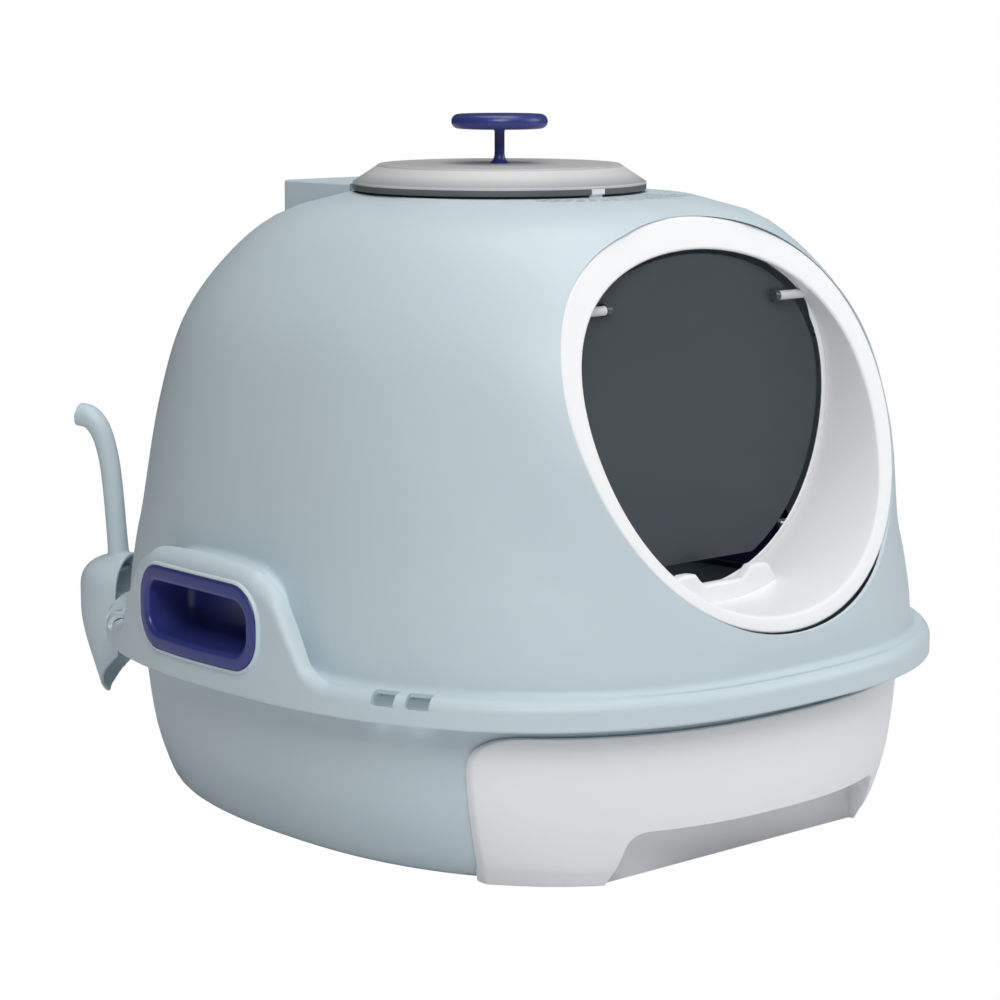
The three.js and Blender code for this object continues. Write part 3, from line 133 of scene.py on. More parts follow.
DOME_CURVE = catmull(DOME_SHARES, 400)
ARCH_CURVE = catmull(ARCH_SHARES, 300)
PAN_CURVE = catmull(PAN_SHARES, 300)
SWELL_CURVE = catmull(SWELL_SHARES, 400)


def reach(theta, a, b, p):
    """Distance from the middle to a superellipse in a direction."""
    return ((np.abs(np.cos(theta)) / a) ** p + (np.abs(np.sin(theta)) / b) ** p) ** (-1 / p)


def rim_power(y):
    """The rim is squarer behind its middle than in front of it."""
    return np.where(np.asarray(y) > 0, RIM_REAR_P, RIM_P)


def rim_x(y):
    """Half width of the rim at a place along it."""
    p = float(rim_power(y))
    return RIM_A * (1 - (abs(y) / RIM_B) ** p) ** (1 / p)


def rim_normal(y):
    """Outward direction of the rim on its right side at a place along it."""
    p = float(rim_power(y)) - 1
    n = Vector(((rim_x(y) / RIM_A) ** p / RIM_A, math.copysign((abs(y) / RIM_B) ** p / RIM_B, y)))
    return n.normalized()


def around(count):
    """Angles of a full turn in equal steps."""
    return np.arange(count) * 2 * math.pi / count


def quarter(steps, first=1):
    """Sines and cosines of a quarter turn in equal steps, without its start unless first is 0."""
    angles = [k / steps * math.pi / 2 for k in range(first, steps + 1)]
    return [(math.sin(a), math.cos(a)) for a in angles]


def rise_between(value, low, high):
    """Smooth step from 0 to 1."""
    t = np.clip((value - low) / (high - low), 0, 1)
    return t * t * (3 - 2 * t)


def dome_share(z):
    return np.interp((z - RIM_TOP) / DOME_HEIGHT, DOME_CURVE[:, 0], DOME_CURVE[:, 1])


def arch_top(y, inward=0.0):
    """Height of the ledge along Y: the rim's top, raised where the hand-hold arch stands.

    The arch is narrower and a little lower towards the dome, where inward is 1."""
    away = np.abs(y - HOLD_Y) / (ARCH_HALF * (1 - ARCH_NARROW * inward))
    raised = np.interp(away, ARCH_CURVE[:, 0], ARCH_CURVE[:, 1])
    return RIM_TOP + ARCH_HEIGHT * (1 - ARCH_SINK * inward) * raised


def pan_section(z):
    """Half width, half depth and middle of the pan's outline at a height."""
    share = np.clip(z / RIM_BOTTOM, 0, 1)
    half = PAN_A - PAN_TAPER * np.interp(share, PAN_CURVE[:, 0], PAN_CURVE[:, 1])
    return half, half + PAN_EXTRA + (RIM_B - RIM_A - PAN_EXTRA) * share, PAN_SHIFT * (1 - share)


def pan_front(x, z, proud):
    """Front of the pan at x and z, moved outwards, and straight where the pan's foot curls in."""
    a, b, c = pan_section(np.maximum(z, FRONT_STRAIGHT_Z))
    proud = proud - FRONT_SLOPE * np.maximum(FRONT_STRAIGHT_Z - z, 0)
    return c - (b + proud) * np.maximum(1 - (np.abs(x) / (a + proud)) ** PAN_P, 0) ** (1 / PAN_P)


def swell(points):
    """Brings the dome's front forward round the entry ring, so that it meets the ring's edge."""
    x, y, z = points[..., 0], points[..., 1], points[..., 2]
    height = np.clip((z - RIM_TOP) / DOME_HEIGHT, 0, 1)
    most = SWELL_MOST * np.interp(height, SWELL_CURVE[:, 0], SWELL_CURVE[:, 1])
    most = most * rise_between(z, RIM_TOP + 2, RIM_TOP + 24)
    rise = ((z - RING_Z) / math.cos(RING_TILT) - RING_EGG[2]) / RING_EGG[1]
    width = RING_EGG[0] * (1 + RING_EGG[3] * rise + RING_EGG[4] * rise**2)
    away = (np.hypot(x / width, rise) - 1) * RING_EGG[1]
    fade = 1 - rise_between(away, 0, SWELL_REACH)
    points[..., 1] = y - most * fade * rise_between(-y, 0, SWELL_START)


# ---- meshes
def outward(obj):
    bm = bmesh.new()
    bm.from_mesh(obj.data)
    bmesh.ops.recalc_face_normals(bm, faces=bm.faces)
    if bm.calc_volume(signed=True) < 0:
        bmesh.ops.reverse_faces(bm, faces=bm.faces)
    bm.to_mesh(obj.data)
    bm.free()


def make_object(name, verts, faces):
    """Closed mesh, in millimetres, with its faces turned outwards."""
    mesh = bpy.data.meshes.new(name)
    mesh.from_pydata((np.asarray(verts, float) * MM).tolist(), [], [list(map(int, f)) for f in faces])
    mesh.validate()
    obj = bpy.data.objects.new(name, mesh)
    bpy.context.scene.collection.objects.link(obj)
    outward(obj)
    return obj


def grid_faces(rows, columns, closed_rows=False):
    """Quads between rows of points, each of which closes on itself."""
    i = np.arange(rows if closed_rows else rows - 1)[:, None]
    j = np.arange(columns)[None, :]
    a, b = i * columns + j, i * columns + (j + 1) % columns
    c, d = ((i + 1) % rows) * columns + (j + 1) % columns, ((i + 1) % rows) * columns + j
    return np.stack([a, b, c, d], -1).reshape(-1, 4)


def skin(name, rings, closed=False):
    """Closed mesh through rings of points: rings is rows x columns x 3. The ends are capped unless closed."""
    rings = np.asarray(rings, float)
    rows, columns, _ = rings.shape
    faces = [list(f) for f in grid_faces(rows, columns, closed)]
    if not closed:
        faces.append(list(range(columns))[::-1])
        faces.append([(rows - 1) * columns + j for j in range(columns)])
    return make_object(name, rings.reshape(-1, 3), faces)


def join_meshes(name, objects):
    """One object from several, whose own objects go."""
    bm = bmesh.new()
    for obj in objects:
        bm.from_mesh(obj.data)
        bpy.data.objects.remove(obj)
    mesh = bpy.data.meshes.new(name)
    bm.to_mesh(mesh)
    bm.free()
    obj = bpy.data.objects.new(name, mesh)
    bpy.context.scene.collection.objects.link(obj)
    return obj


def combine(obj, other, operation):
    """Boolean of two closed meshes. The other object goes."""
    modifier = obj.modifiers.new("cut", "BOOLEAN")
    modifier.operation = operation
    modifier.solver = "MANIFOLD"
    modifier.object = other
    bpy.context.view_layer.update()
    evaluated = obj.evaluated_get(bpy.context.evaluated_depsgraph_get())
    mesh = bpy.data.meshes.new_from_object(evaluated)
    obj.modifiers.clear()
    if len(mesh.polygons) == 0:
        raise RuntimeError(f"{obj.name}: the {operation} with {other.name} left nothing")
    obj.data = mesh
    bpy.data.objects.remove(other)
    return obj


def cut(obj, other):
    return combine(obj, other, "DIFFERENCE")


def weld(obj, other):
    return combine(obj, other, "UNION")


def smooth(obj, angle=35):
    for polygon in obj.data.polygons:
        polygon.use_smooth = True
    obj.data.set_sharp_from_angle(angle=math.radians(angle))


def cells_beside(at, m0, s0, m1, s1):
    """Grid cells shifted by s0 along axis m0 and by s1 along m1."""
    cell = at.copy()
    cell[:, m0] += s0
    cell[:, m1] += s1
    return cell


def surface_net(name, field, low, high, step):
    """Closed mesh where field(x, y, z), negative inside, is zero."""
    axes = [np.arange(low[k], high[k] + step, step) for k in range(3)]
    n = [len(a) for a in axes]
    grid = np.meshgrid(*axes, indexing="ij")
    value = field(*grid)
    for k in range(3):
        for end in (0, -1):
            layer = np.moveaxis(value, k, 0)[end]
            np.maximum(layer, step, out=layer)
    inside = value < 0
    total = np.zeros([m - 1 for m in n] + [3])
    count = np.zeros([m - 1 for m in n])
    crossings = []
    for k in range(3):
        lo, hi = [slice(None)] * 3, [slice(None)] * 3
        lo[k], hi[k] = slice(None, -1), slice(1, None)
        lo, hi = tuple(lo), tuple(hi)
        cross = inside[lo] != inside[hi]
        crossings.append((cross, inside[lo]))
        at = np.argwhere(cross)
        v0, v1 = value[lo][cross], value[hi][cross]
        point = at.astype(float)
        point[:, k] += v0 / (v0 - v1)
        m0, m1 = (m for m in range(3) if m != k)
        for s0, s1 in ((0, 0), (0, -1), (-1, 0), (-1, -1)):
            cell = cells_beside(at, m0, s0, m1, s1)
            good = np.all((cell >= 0) & (cell < np.array(count.shape)), axis=1)
            np.add.at(total, tuple(cell[good].T), point[good])
            np.add.at(count, tuple(cell[good].T), 1)
    used = count > 0
    index = -np.ones(count.shape, int)
    index[used] = np.arange(used.sum())
    verts = total[used] / count[used][:, None] * step + np.array(low, float)
    faces = []
    for k in range(3):
        cross, starts_inside = crossings[k]
        at = np.argwhere(cross)
        flip = starts_inside[cross]
        m0, m1 = (k + 1) % 3, (k + 2) % 3
        keep = (at[:, m0] > 0) & (at[:, m1] > 0) & (at[:, m0] < n[m0] - 1) & (at[:, m1] < n[m1] - 1)
        at, flip = at[keep], flip[keep]
        corners = []
        for s0, s1 in ((-1, -1), (0, -1), (0, 0), (-1, 0)):
            corners.append(index[tuple(cells_beside(at, m0, s0, m1, s1).T)])
        quads = np.stack(corners, 1)
        quads[~flip] = quads[~flip][:, ::-1]
        faces.append(quads)
    for _ in range(3):
        e = step / 20
        f0 = field(*verts.T)
        grad = np.stack([
            (field(*(verts + np.eye(3)[k] * e).T) - field(*(verts - np.eye(3)[k] * e).T)) / (2 * e)
            for k in range(3)
        ], 1)
        size = np.maximum((grad**2).sum(1), 0.05)
        move = -(f0 / size)[:, None] * grad
        length = np.maximum(np.linalg.norm(move, axis=1), 1e-9)
        verts += move * np.minimum(1, 0.4 * step / length)[:, None]
    return make_object(name, verts, np.concatenate(faces))


def smax(a, b, k):
    return np.maximum(a, b) + np.maximum(k - np.abs(a - b), 0) ** 2 / (4 * k)


def smin(a, b, k):
    return -smax(-a, -b, k)


def turned(name, profile, y=LID_Y, steps=128):
    """Body turned about the lid's axis, from (radius, height) pairs. A ring unless they start on the axis."""
    profile = np.array(profile, float)
    turn = around(steps)
    on_axis = profile[0, 0] < 1e-6
    ring = profile[1:-1] if on_axis else profile
    rings = np.stack([
        ring[:, :1] * np.cos(turn), y + ring[:, :1] * np.sin(turn), np.repeat(ring[:, 1:], steps, 1),
    ], -1)
    if not on_axis:
        return skin(name, rings, closed=True)
    rows = len(ring)
    verts = np.concatenate([rings.reshape(-1, 3), [[0, y, profile[0, 1]], [0, y, profile[-1, 1]]]])
    faces = [list(f) for f in grid_faces(rows, steps)]
    first, last = rows * steps, rows * steps + 1
    for j in range(steps):
        k = (j + 1) % steps
        faces.append([first, k, j])
        faces.append([last, (rows - 1) * steps + j, (rows - 1) * steps + k])
    return make_object(name, verts, faces)


def disc(name, radius, low, high):
    return turned(name, [(0, low), (radius, low), (radius, high), (0, high)])


def round_corners(points, radii, steps=6):
    """Polyline whose inner corners are replaced by arcs of the radii given."""
    p = [np.array(q, float) for q in points]
    out = [p[0]]
    for i in range(1, len(p) - 1):
        r = radii[i] if i < len(radii) else 0
        if r <= 0:
            out.append(p[i])
            continue
        a, b = p[i - 1] - p[i], p[i + 1] - p[i]
        la, lb = np.linalg.norm(a), np.linalg.norm(b)
        a, b = a / la, b / lb
        angle = math.acos(np.clip(a @ b, -1, 1))
        trim = min(r / math.tan(angle / 2), la * 0.49, lb * 0.49)
        s, e = p[i] + a * trim, p[i] + b * trim
        for t in np.linspace(0, 1, steps + 1):
            out.append((1 - t) ** 2 * s + 2 * t * (1 - t) * p[i] + t**2 * e)
    out.append(p[-1])
    return out


# ---- the entry's egg
def egg(turn, shape, grow=0.0):
    """Place across and up at an angle: half width and height, then the lift, tilt and bow of the form."""
    a, b, lift, tilt, bow = shape
    rise = np.sin(turn)
    return (a + grow) * (1 + tilt * rise + bow * rise**2) * np.cos(turn), lift + (b + grow) * rise


TURNS = around(240)


def on_face(shape, grow, back):
    """Egg in the ring's tilted plane, set back by a distance along Y."""
    x, up = egg(TURNS, shape, grow)
    return np.stack([x, RING_Y + up * math.sin(RING_TILT) + back, RING_Z + up * math.cos(RING_TILT)], -1)


def on_plane(shape, grow, y):
    """The same egg, seen from the front, in the upright plane at y."""
    ring = on_face(shape, grow, 0)
    ring[:, 1] = y
    return ring


# ---- hood
def hood_profile(theta, inset):
    """Meridian of the hood's skin in each direction, from crown to rim foot: rows x directions x 2."""
    s_dome = reach(theta, DOME_A - inset, DOME_B - inset, DOME_P)
    s_rim = reach(theta, RIM_A - inset, RIM_B - inset, rim_power(np.sin(theta)))
    fillet = 5.0 + inset
    deck = np.full_like(theta, DECK_Z - inset)
    rows = [(s_dome * w, deck) for w in np.linspace(0.1, DOME_SHARES[-1][1], 12)[:-1]]
    scale = (DOME_HEIGHT - inset) / DOME_HEIGHT
    join_low, join_high = np.full_like(theta, RIM_TOP - 10), np.full_like(theta, RIM_TOP + 120)
    for _ in range(40):  # the height at which the dome meets the fillet over the ledge
        mid = (join_low + join_high) / 2
        rho = s_dome * dome_share(mid)
        above = mid > arch_top(rho * np.sin(theta), 1) - inset + fillet
        join_high, join_low = np.where(above, mid, join_high), np.where(above, join_low, mid)
    join = (join_low + join_high) / 2
    for k in range(70):
        h = 1 - (k / 69) ** 0.8
        z = join + (RIM_TOP + DOME_HEIGHT * scale - join) * h
        share = np.interp((z - RIM_TOP) / (DOME_HEIGHT * scale), DOME_CURVE[:, 0], DOME_CURVE[:, 1])
        rows.append((s_dome * share, z))
    rho_join = s_dome * dome_share(join)
    for s, c in quarter(8):
        rho = rho_join + fillet * (1 - c)
        z = arch_top(rho * np.sin(theta), 1) - inset + fillet * (1 - s)
        rows.append((rho, z))
    raised = np.clip((arch_top(s_rim * np.sin(theta)) - RIM_TOP) / 25, 0, 1)
    radius = RIM_ROUND + 2.5 * raised - inset * 0.7
    start, end = rho_join + fillet, s_rim - radius
    for k in range(1, 21):
        rho = start + (end - start) * k / 20
        rows.append((rho, arch_top(rho * np.sin(theta), 1 - k / 20) - inset))
    for s, c in quarter(10):
        rho = end + radius * s
        rows.append((rho, arch_top(rho * np.sin(theta)) - inset - radius * (1 - c)))
    foot, top = HOOD_FOOT + 1.2, rows[-1][1]
    rows += [(s_rim, top + (foot - top) * k / 16) for k in range(1, 17)]
    for outside, inside, z in ((-0.5, 0.2, HOOD_FOOT + 0.4), (-1.2, 0.8, HOOD_FOOT)):
        rows.append((s_rim + (outside if inset == 0 else inside), np.full_like(theta, z)))
    rows = np.array(rows)
    if inset > 0:
        # The deck is thinner where the air slots go through it
        share = rows[:, 0] / s_dome
        front = 1 - rise_between(rows[:, 0] * np.sin(theta), 0, 30)
        rows[:, 1] += (inset - DECK_WALL) * (1 - rise_between(share, 0.5, 0.62)) * front
    return rows


def prism(name, outline, place):
    """Closed prism: place maps an outline point and 0 or 1 to a point in space."""
    rings = [[place(p, end) for p in outline] for end in (0, 1)]
    return skin(name, rings)


def front_prism(name, outline, back, z=0.0):
    """Closed prism along Y, from before the box back to a plane: the outline holds (x, z) pairs."""
    return prism(name, outline, lambda p, end: (p[0], -300 + (back + 300) * end, z + p[1]))


def rounded_rectangle(half_u, half_v, radius, steps=8):
    points = []
    for cu, cv, start in ((1, -1, -90), (1, 1, 0), (-1, 1, 90), (-1, -1, 180)):
        middle_u, middle_v = cu * (half_u - radius), cv * (half_v - radius)
        for k in range(steps + 1):
            a = math.radians(start + 90 * k / steps)
            points.append((middle_u + radius * math.cos(a), middle_v + radius * math.sin(a)))
    return points


def box_mesh(name, low, high):
    (x0, y0, z0), (x1, y1, z1) = low, high
    return skin(name, [[(x0, y0, z), (x1, y0, z), (x1, y1, z), (x0, y1, z)] for z in (z0, z1)])


def turned_along(name, axis, path, across, sides=40):
    """Body turned about a line along X or Y, from (place along it, radius) pairs.

    across holds the line's other two coordinates."""
    turn = around(sides)
    rings = []
    for at, r in path:
        a, b, c = np.full(sides, float(at)), across[0] + r * np.cos(turn), across[1] + r * np.sin(turn)
        rings.append(np.stack([a, b, c] if axis == "x" else [b, a, c], -1))
    return skin(name, rings)


def rod(name, axis, radius, start, end, across, soft=0.0):
    """Round bar along X or Y, with softened ends."""
    path = [(start, radius - soft), (end, radius - soft)]
    if soft > 0:
        inward = math.copysign(soft, end - start)
        path[1:1] = [(start + inward, radius), (end - inward, radius)]
    return turned_along(name, axis, path, across)


def build_hood():
    theta = around(900)
    path = np.concatenate([hood_profile(theta, 0.0), hood_profile(theta, WALL)[::-1]])
    rings = np.stack([path[:, 0] * np.cos(theta), path[:, 0] * np.sin(theta), path[:, 1]], -1)
    swell(rings)
    hood = skin("hood_skin", rings)

    # Low block behind the lid
    outline = rounded_rectangle(*BLOCK_HALF, BLOCK_CORNER)

    def block(z, share):
        return [(x * share, y * share + BLOCK_Y, z) for x, y in outline]

    solid = skin("block", [block(z, share) for z, share in BLOCK_LEVELS])
    hollow = skin("hollow", [block(340, 0.95), block(411.8, 0.95)])
    cut(solid, disc("bite", 102, 300, 440))
    cut(hollow, disc("bite", 105, 300, 440))
    cut(solid, rod("room", "x", 4.6, -10.6, 10.6, (HINGE_BAR_Y, HINGE_BAR_Z)))
    weld(hood, solid)
    cut(hood, hollow)

    # Entry hole
    cut(hood, skin("entry", [on_plane(RING_EGG, GAP, y) for y in (-300.0, -133.0)]))

    # Crown: hole for the filter, air slots in front of the lid
    cut(hood, disc("crown", CROWN_HOLE_R, 380, 430))
    slots = []
    for row, radius in enumerate(SLOT_ROWS):
        count = SLOT_MOST - row % 2
        for k in range(count):
            turn = -math.pi / 2 + (k - (count - 1) / 2) * SLOT_STEP
            x, y = radius * math.cos(turn), LID_Y + radius * math.sin(turn)
            c, s = math.cos(turn), math.sin(turn)
            slots.append(prism("slot", SLOT_SHAPE, lambda p, end: (
                x + p[0] * c - p[1] * s, y + p[0] * s + p[1] * c, 380 + 50 * end)))
    cut(hood, join_meshes("slots", slots))

    # Ears of the lid's hinge
    for side in (-1, 1):
        shape = [(HINGE_BAR_Y + HINGE_BAR_R * math.cos(a), HINGE_BAR_Z + HINGE_BAR_R * math.sin(a))
                 for a in np.linspace(0, math.pi, 17)]
        shape += [(HINGE_BAR_Y - HINGE_BAR_R, 412.3), (HINGE_BAR_Y + HINGE_BAR_R, 412.3)]
        weld(hood, prism("ear", shape, lambda p, end: (side * (EAR_START + EAR_WIDTH * end), *p)))
    cut(hood, rod("bore", "x", HINGE_BORE_R, -26, 26, (HINGE_BAR_Y, HINGE_BAR_Z)))

    # Openings of the hand-hold cups, a fine bead round each, and snap windows
    for side in (-1, 1):
        section = ((0.5, -1.5), (0.5, 1.5), (0.8, 1.9), (1.4, 2.1), (2.0, 1.8), (2.5, 1.0), (3.0, -1.5))
        weld(hood, skin("bead", [cup_outline(side, -grow, proud) for grow, proud in section], closed=True))
        ring = rounded_rectangle(CUP_HALF_Y - 7.3, CUP_HALF_Z - 7.3, CUP_CORNER - 7.3)
        cut(hood, prism("cup", ring, lambda p, end: (
            side * (262 - 60 * end), HOLD_Y + p[0], HOLD_Z + p[1])))
        for y in WINDOW_Y:
            shape = rounded_rectangle(WINDOW_HALF, WINDOW_HALF_HEIGHT, 1.6, 4)
            cut(hood, rim_prism(shape, side, y, 6, -11, WINDOW_Z))

    # Hook that the scoop hangs on
    arm = box_mesh("arm", (-1.6, -6, 116), (21.4, 6, 119))
    tongue = skin("tongue", [[(19, -w, z), (22 - t, -w, z), (22 - t, w, z), (19, w, z)]
                             for z, w, t in ((116.6, 6, 0), (132.6, 6, 0), (134, 5, 0.8))])
    hook = weld(arm, tongue)
    place_at_scoop(hook)
    return weld(hood, hook)


def cup_outline(side, inset, proud, steps=12):
    """Ring round the hand-hold on the rim's face."""
    half_u, half_v = CUP_HALF_Y - inset, CUP_HALF_Z - inset
    radius = min(max(CUP_CORNER - inset, 7.5), half_v * 0.9)
    out = []
    for u, v in rounded_rectangle(half_u, half_v, radius, steps):
        out.append((side * (rim_x(HOLD_Y + u) + proud), HOLD_Y + u, HOLD_Z + v))
    # Straight edges get points of their own, so that they follow the rim's curve
    dense = []
    for i, a in enumerate(out):
        b = out[(i + 1) % len(out)]
        dense.append(a)
        if abs(a[1] - b[1]) > 20:
            for t in np.linspace(0, 1, 14)[1:-1]:
                y = a[1] + (b[1] - a[1]) * t
                dense.append((side * (rim_x(y) + proud), y, a[2] + (b[2] - a[2]) * t))
    # The long edges are a little crowned
    return [(x, y, z + CUP_CROWN * (z - HOLD_Z) / half_v * max(1 - ((y - HOLD_Y) / half_u) ** 2, 0))
            for x, y, z in dense]


def rim_prism(shape, side, y, outer, inner, z):
    """Prism across the rim's wall at a place: shape holds (along the rim, height) pairs."""
    n = rim_normal(y)
    x, nx, ny = side * rim_x(y), side * n.x, n.y
    return prism("across", shape, lambda p, end: (
        x + nx * (outer + (inner - outer) * end) - ny * p[0],
        y + ny * (outer + (inner - outer) * end) + nx * p[0],
        z + p[1],
    ))


# ---- pan
def build_pan():
    theta = around(720)
    levels = [0, 0.3, 1, 2, 3.2, 5, 7, 9.5, 13, 17, 22, 28, 36, 46, 58, 72, 86, 98, 107.6, 114]

    def ring(z, inset):
        a, b, c = pan_section(np.array(float(z)))
        r = reach(theta, float(a) - inset, float(b) - inset, PAN_P)
        return np.stack([r * np.cos(theta), float(c) + r * np.sin(theta), np.full_like(theta, z)], -1)

    def flange(z, inset):
        r = reach(theta, RIM_A - FLANGE_IN - inset, RIM_B - FLANGE_IN - inset, rim_power(np.sin(theta)))
        return np.stack([r * np.cos(theta), r * np.sin(theta), np.full_like(theta, z)], -1)

    outer = [ring(z, max(0.0, 1.6 - z) * 0.8) for z in levels]
    outer += [ring(PAN_TOP - WALL, 0), flange(PAN_TOP - WALL, WALL)]
    outer += [flange(PAN_TOP - 12, WALL), flange(PAN_TOP - 12, 0)]
    outer += [flange(PAN_TOP - 5.4, 0), flange(PAN_TOP - 1.6, 1.6), flange(PAN_TOP, 5.4)]
    inner = [ring(z, WALL) for z in (PAN_TOP, *levels[::-1]) if z > 3]
    inner.append(ring(3.2, WALL + 2))
    pan = skin("pan_skin", outer + inner)
    mouth = rounded_rectangle(MOUTH_HALF_X, MOUTH_HALF_Z, 3, 4)
    cut(pan, front_prism("mouth", mouth, TRAY_FRONT + 45, MOUTH_Z))
    sill = rounded_rectangle(SILL_HALF_X, SILL_HALF_Z, 2, 3)
    cut(pan, front_prism("sill", sill, TRAY_FRONT, SILL_Z))
    sole = ((-1, RUNNER_FRONT), (1, RUNNER_FRONT), (1, RUNNER_REAR), (-1, RUNNER_REAR))
    pocket = rounded_rectangle(WINDOW_HALF + 1, 5.6, 0.8, 3)
    for side in (-1, 1):
        runner = [[(side * RUNNER_X + u * (RUNNER_HALF - t), v, z) for u, v in sole]
                  for z, t in ((1.8, 0), (4.0, 0), (4.5, 0.6))]
        weld(pan, skin("runner", runner))
        for y in WINDOW_Y:
            cut(pan, rim_prism(pocket, side, y, 0, -16, 121.6))
    return pan


# ---- drawer front
def front_outline(inset, count=440):
    """Outline of the drawer's front as (x, z) pairs, evenly spaced along it."""
    low, high = 0.4 + inset, FRONT_TOP - inset
    half = FRONT_HALF - inset
    corners = [(0, low), (-half, low), (-half, high), (half, high), (half, low), (0, low)]
    soft = max(FRONT_CORNER - inset, 6)
    path = np.array(round_corners(corners, [0, 1, soft, soft, 1], 10))
    # The sides draw in towards the floor
    sides = [np.linspace(a, b, 12, endpoint=False) for a, b in zip(path[:-1], path[1:])]
    path = np.concatenate([*sides, path[-1:]])
    path[:, 0] *= 1 - FRONT_TAPER / FRONT_HALF * np.clip(1 - path[:, 1] / FRONT_TOP, 0, 1) ** FRONT_BOW
    length = np.concatenate([[0], np.cumsum(np.linalg.norm(np.diff(path, axis=0), axis=1))])
    at = np.linspace(0, length[-1], count, endpoint=False)
    return np.stack([np.interp(at, length, path[:, k]) for k in range(2)], 1)


def front_shell(name, inset, near, set_back, edge):
    """Closed body over the pan's front face, from a depth near the pan out to the front's own face."""
    def layer(outline, depth):
        x, z = outline[:, 0], outline[:, 1]
        return np.stack([x, pan_front(x, z, depth(z)), z], 1)

    def face(z):
        return FRONT_PROUD_LOW + (FRONT_PROUD_HIGH - FRONT_PROUD_LOW) * z / FRONT_TOP - set_back

    def shrunk(outline, share):
        return np.stack([outline[:, 0] * share, 48.7 + (outline[:, 1] - 48.7) * share], 1)

    shares = np.linspace(1, 0.02, 42)
    base = front_outline(inset)
    rings = [layer(shrunk(base, share), lambda z: near + 0 * z) for share in shares[::-1]]
    for s, c in quarter(7, 0):
        rings.append(layer(front_outline(inset + edge * (1 - c)), lambda z: face(z) - edge + edge * s))
    inner = front_outline(inset + edge)
    rings += [layer(shrunk(inner, share), face) for share in shares[1:]]
    return skin(name, rings)


def notch_prism(grow, back):
    """Grip notch in the front's lower edge."""
    top = NOTCH_TOP + grow
    corners = [
        (-NOTCH_HALF - grow, -8), (-NOTCH_HALF + NOTCH_TAPER - grow, top),
        (NOTCH_HALF - NOTCH_TAPER + grow, top), (NOTCH_HALF + grow, -8),
    ]
    shape = round_corners(corners, [0, 13 + grow, 13 + grow, 0], 10)
    return front_prism("notch", shape, back)


def build_front():
    front = front_shell("drawer_face", 0.0, 1.4, 0.0, 0.9)
    cut(front, front_shell("hollow", 2 * WALL, -30.0, WALL, 1.5))
    housing = notch_prism(WALL, NOTCH_BACK + WALL)
    combine(housing, front_shell("bulk", 0.1, -40.0, 0.4, 0.5), "INTERSECT")
    weld(front, housing)
    for side in (-1, 1):
        web = box_mesh("web", (side * SCREW_X - 4.5, -274, 44), (side * SCREW_X + 4.5, NOTCH_BACK + WALL, 78))
        combine(web, front_shell("bulk", WALL, -60.0, 0.8, 0.5), "INTERSECT")
        weld(front, web)
        cut(front, rod("bore", "y", SCREW_BORE_R, TRAY_FRONT - 14, TRAY_FRONT + 6, (side * SCREW_X, SCREW_Z)))
    cut(front, notch_prism(0.0, NOTCH_BACK))
    return front


# ---- collar, frame, flap
BOSSES = [(float(x), RING_Z + float(up) * math.cos(RING_TILT))
          for x, up in (egg(2 * math.pi * share, TUNNEL_EGG, 6.2) for share in (0.07, 0.43, 0.615, 0.885))]


def cut_pin_grooves(obj):
    for side in (-1, 1):
        cut(obj, rod("groove", "x", PIN_GROOVE_R, side * 70, side * 108.3, (HINGE_Y, HINGE_Z)))


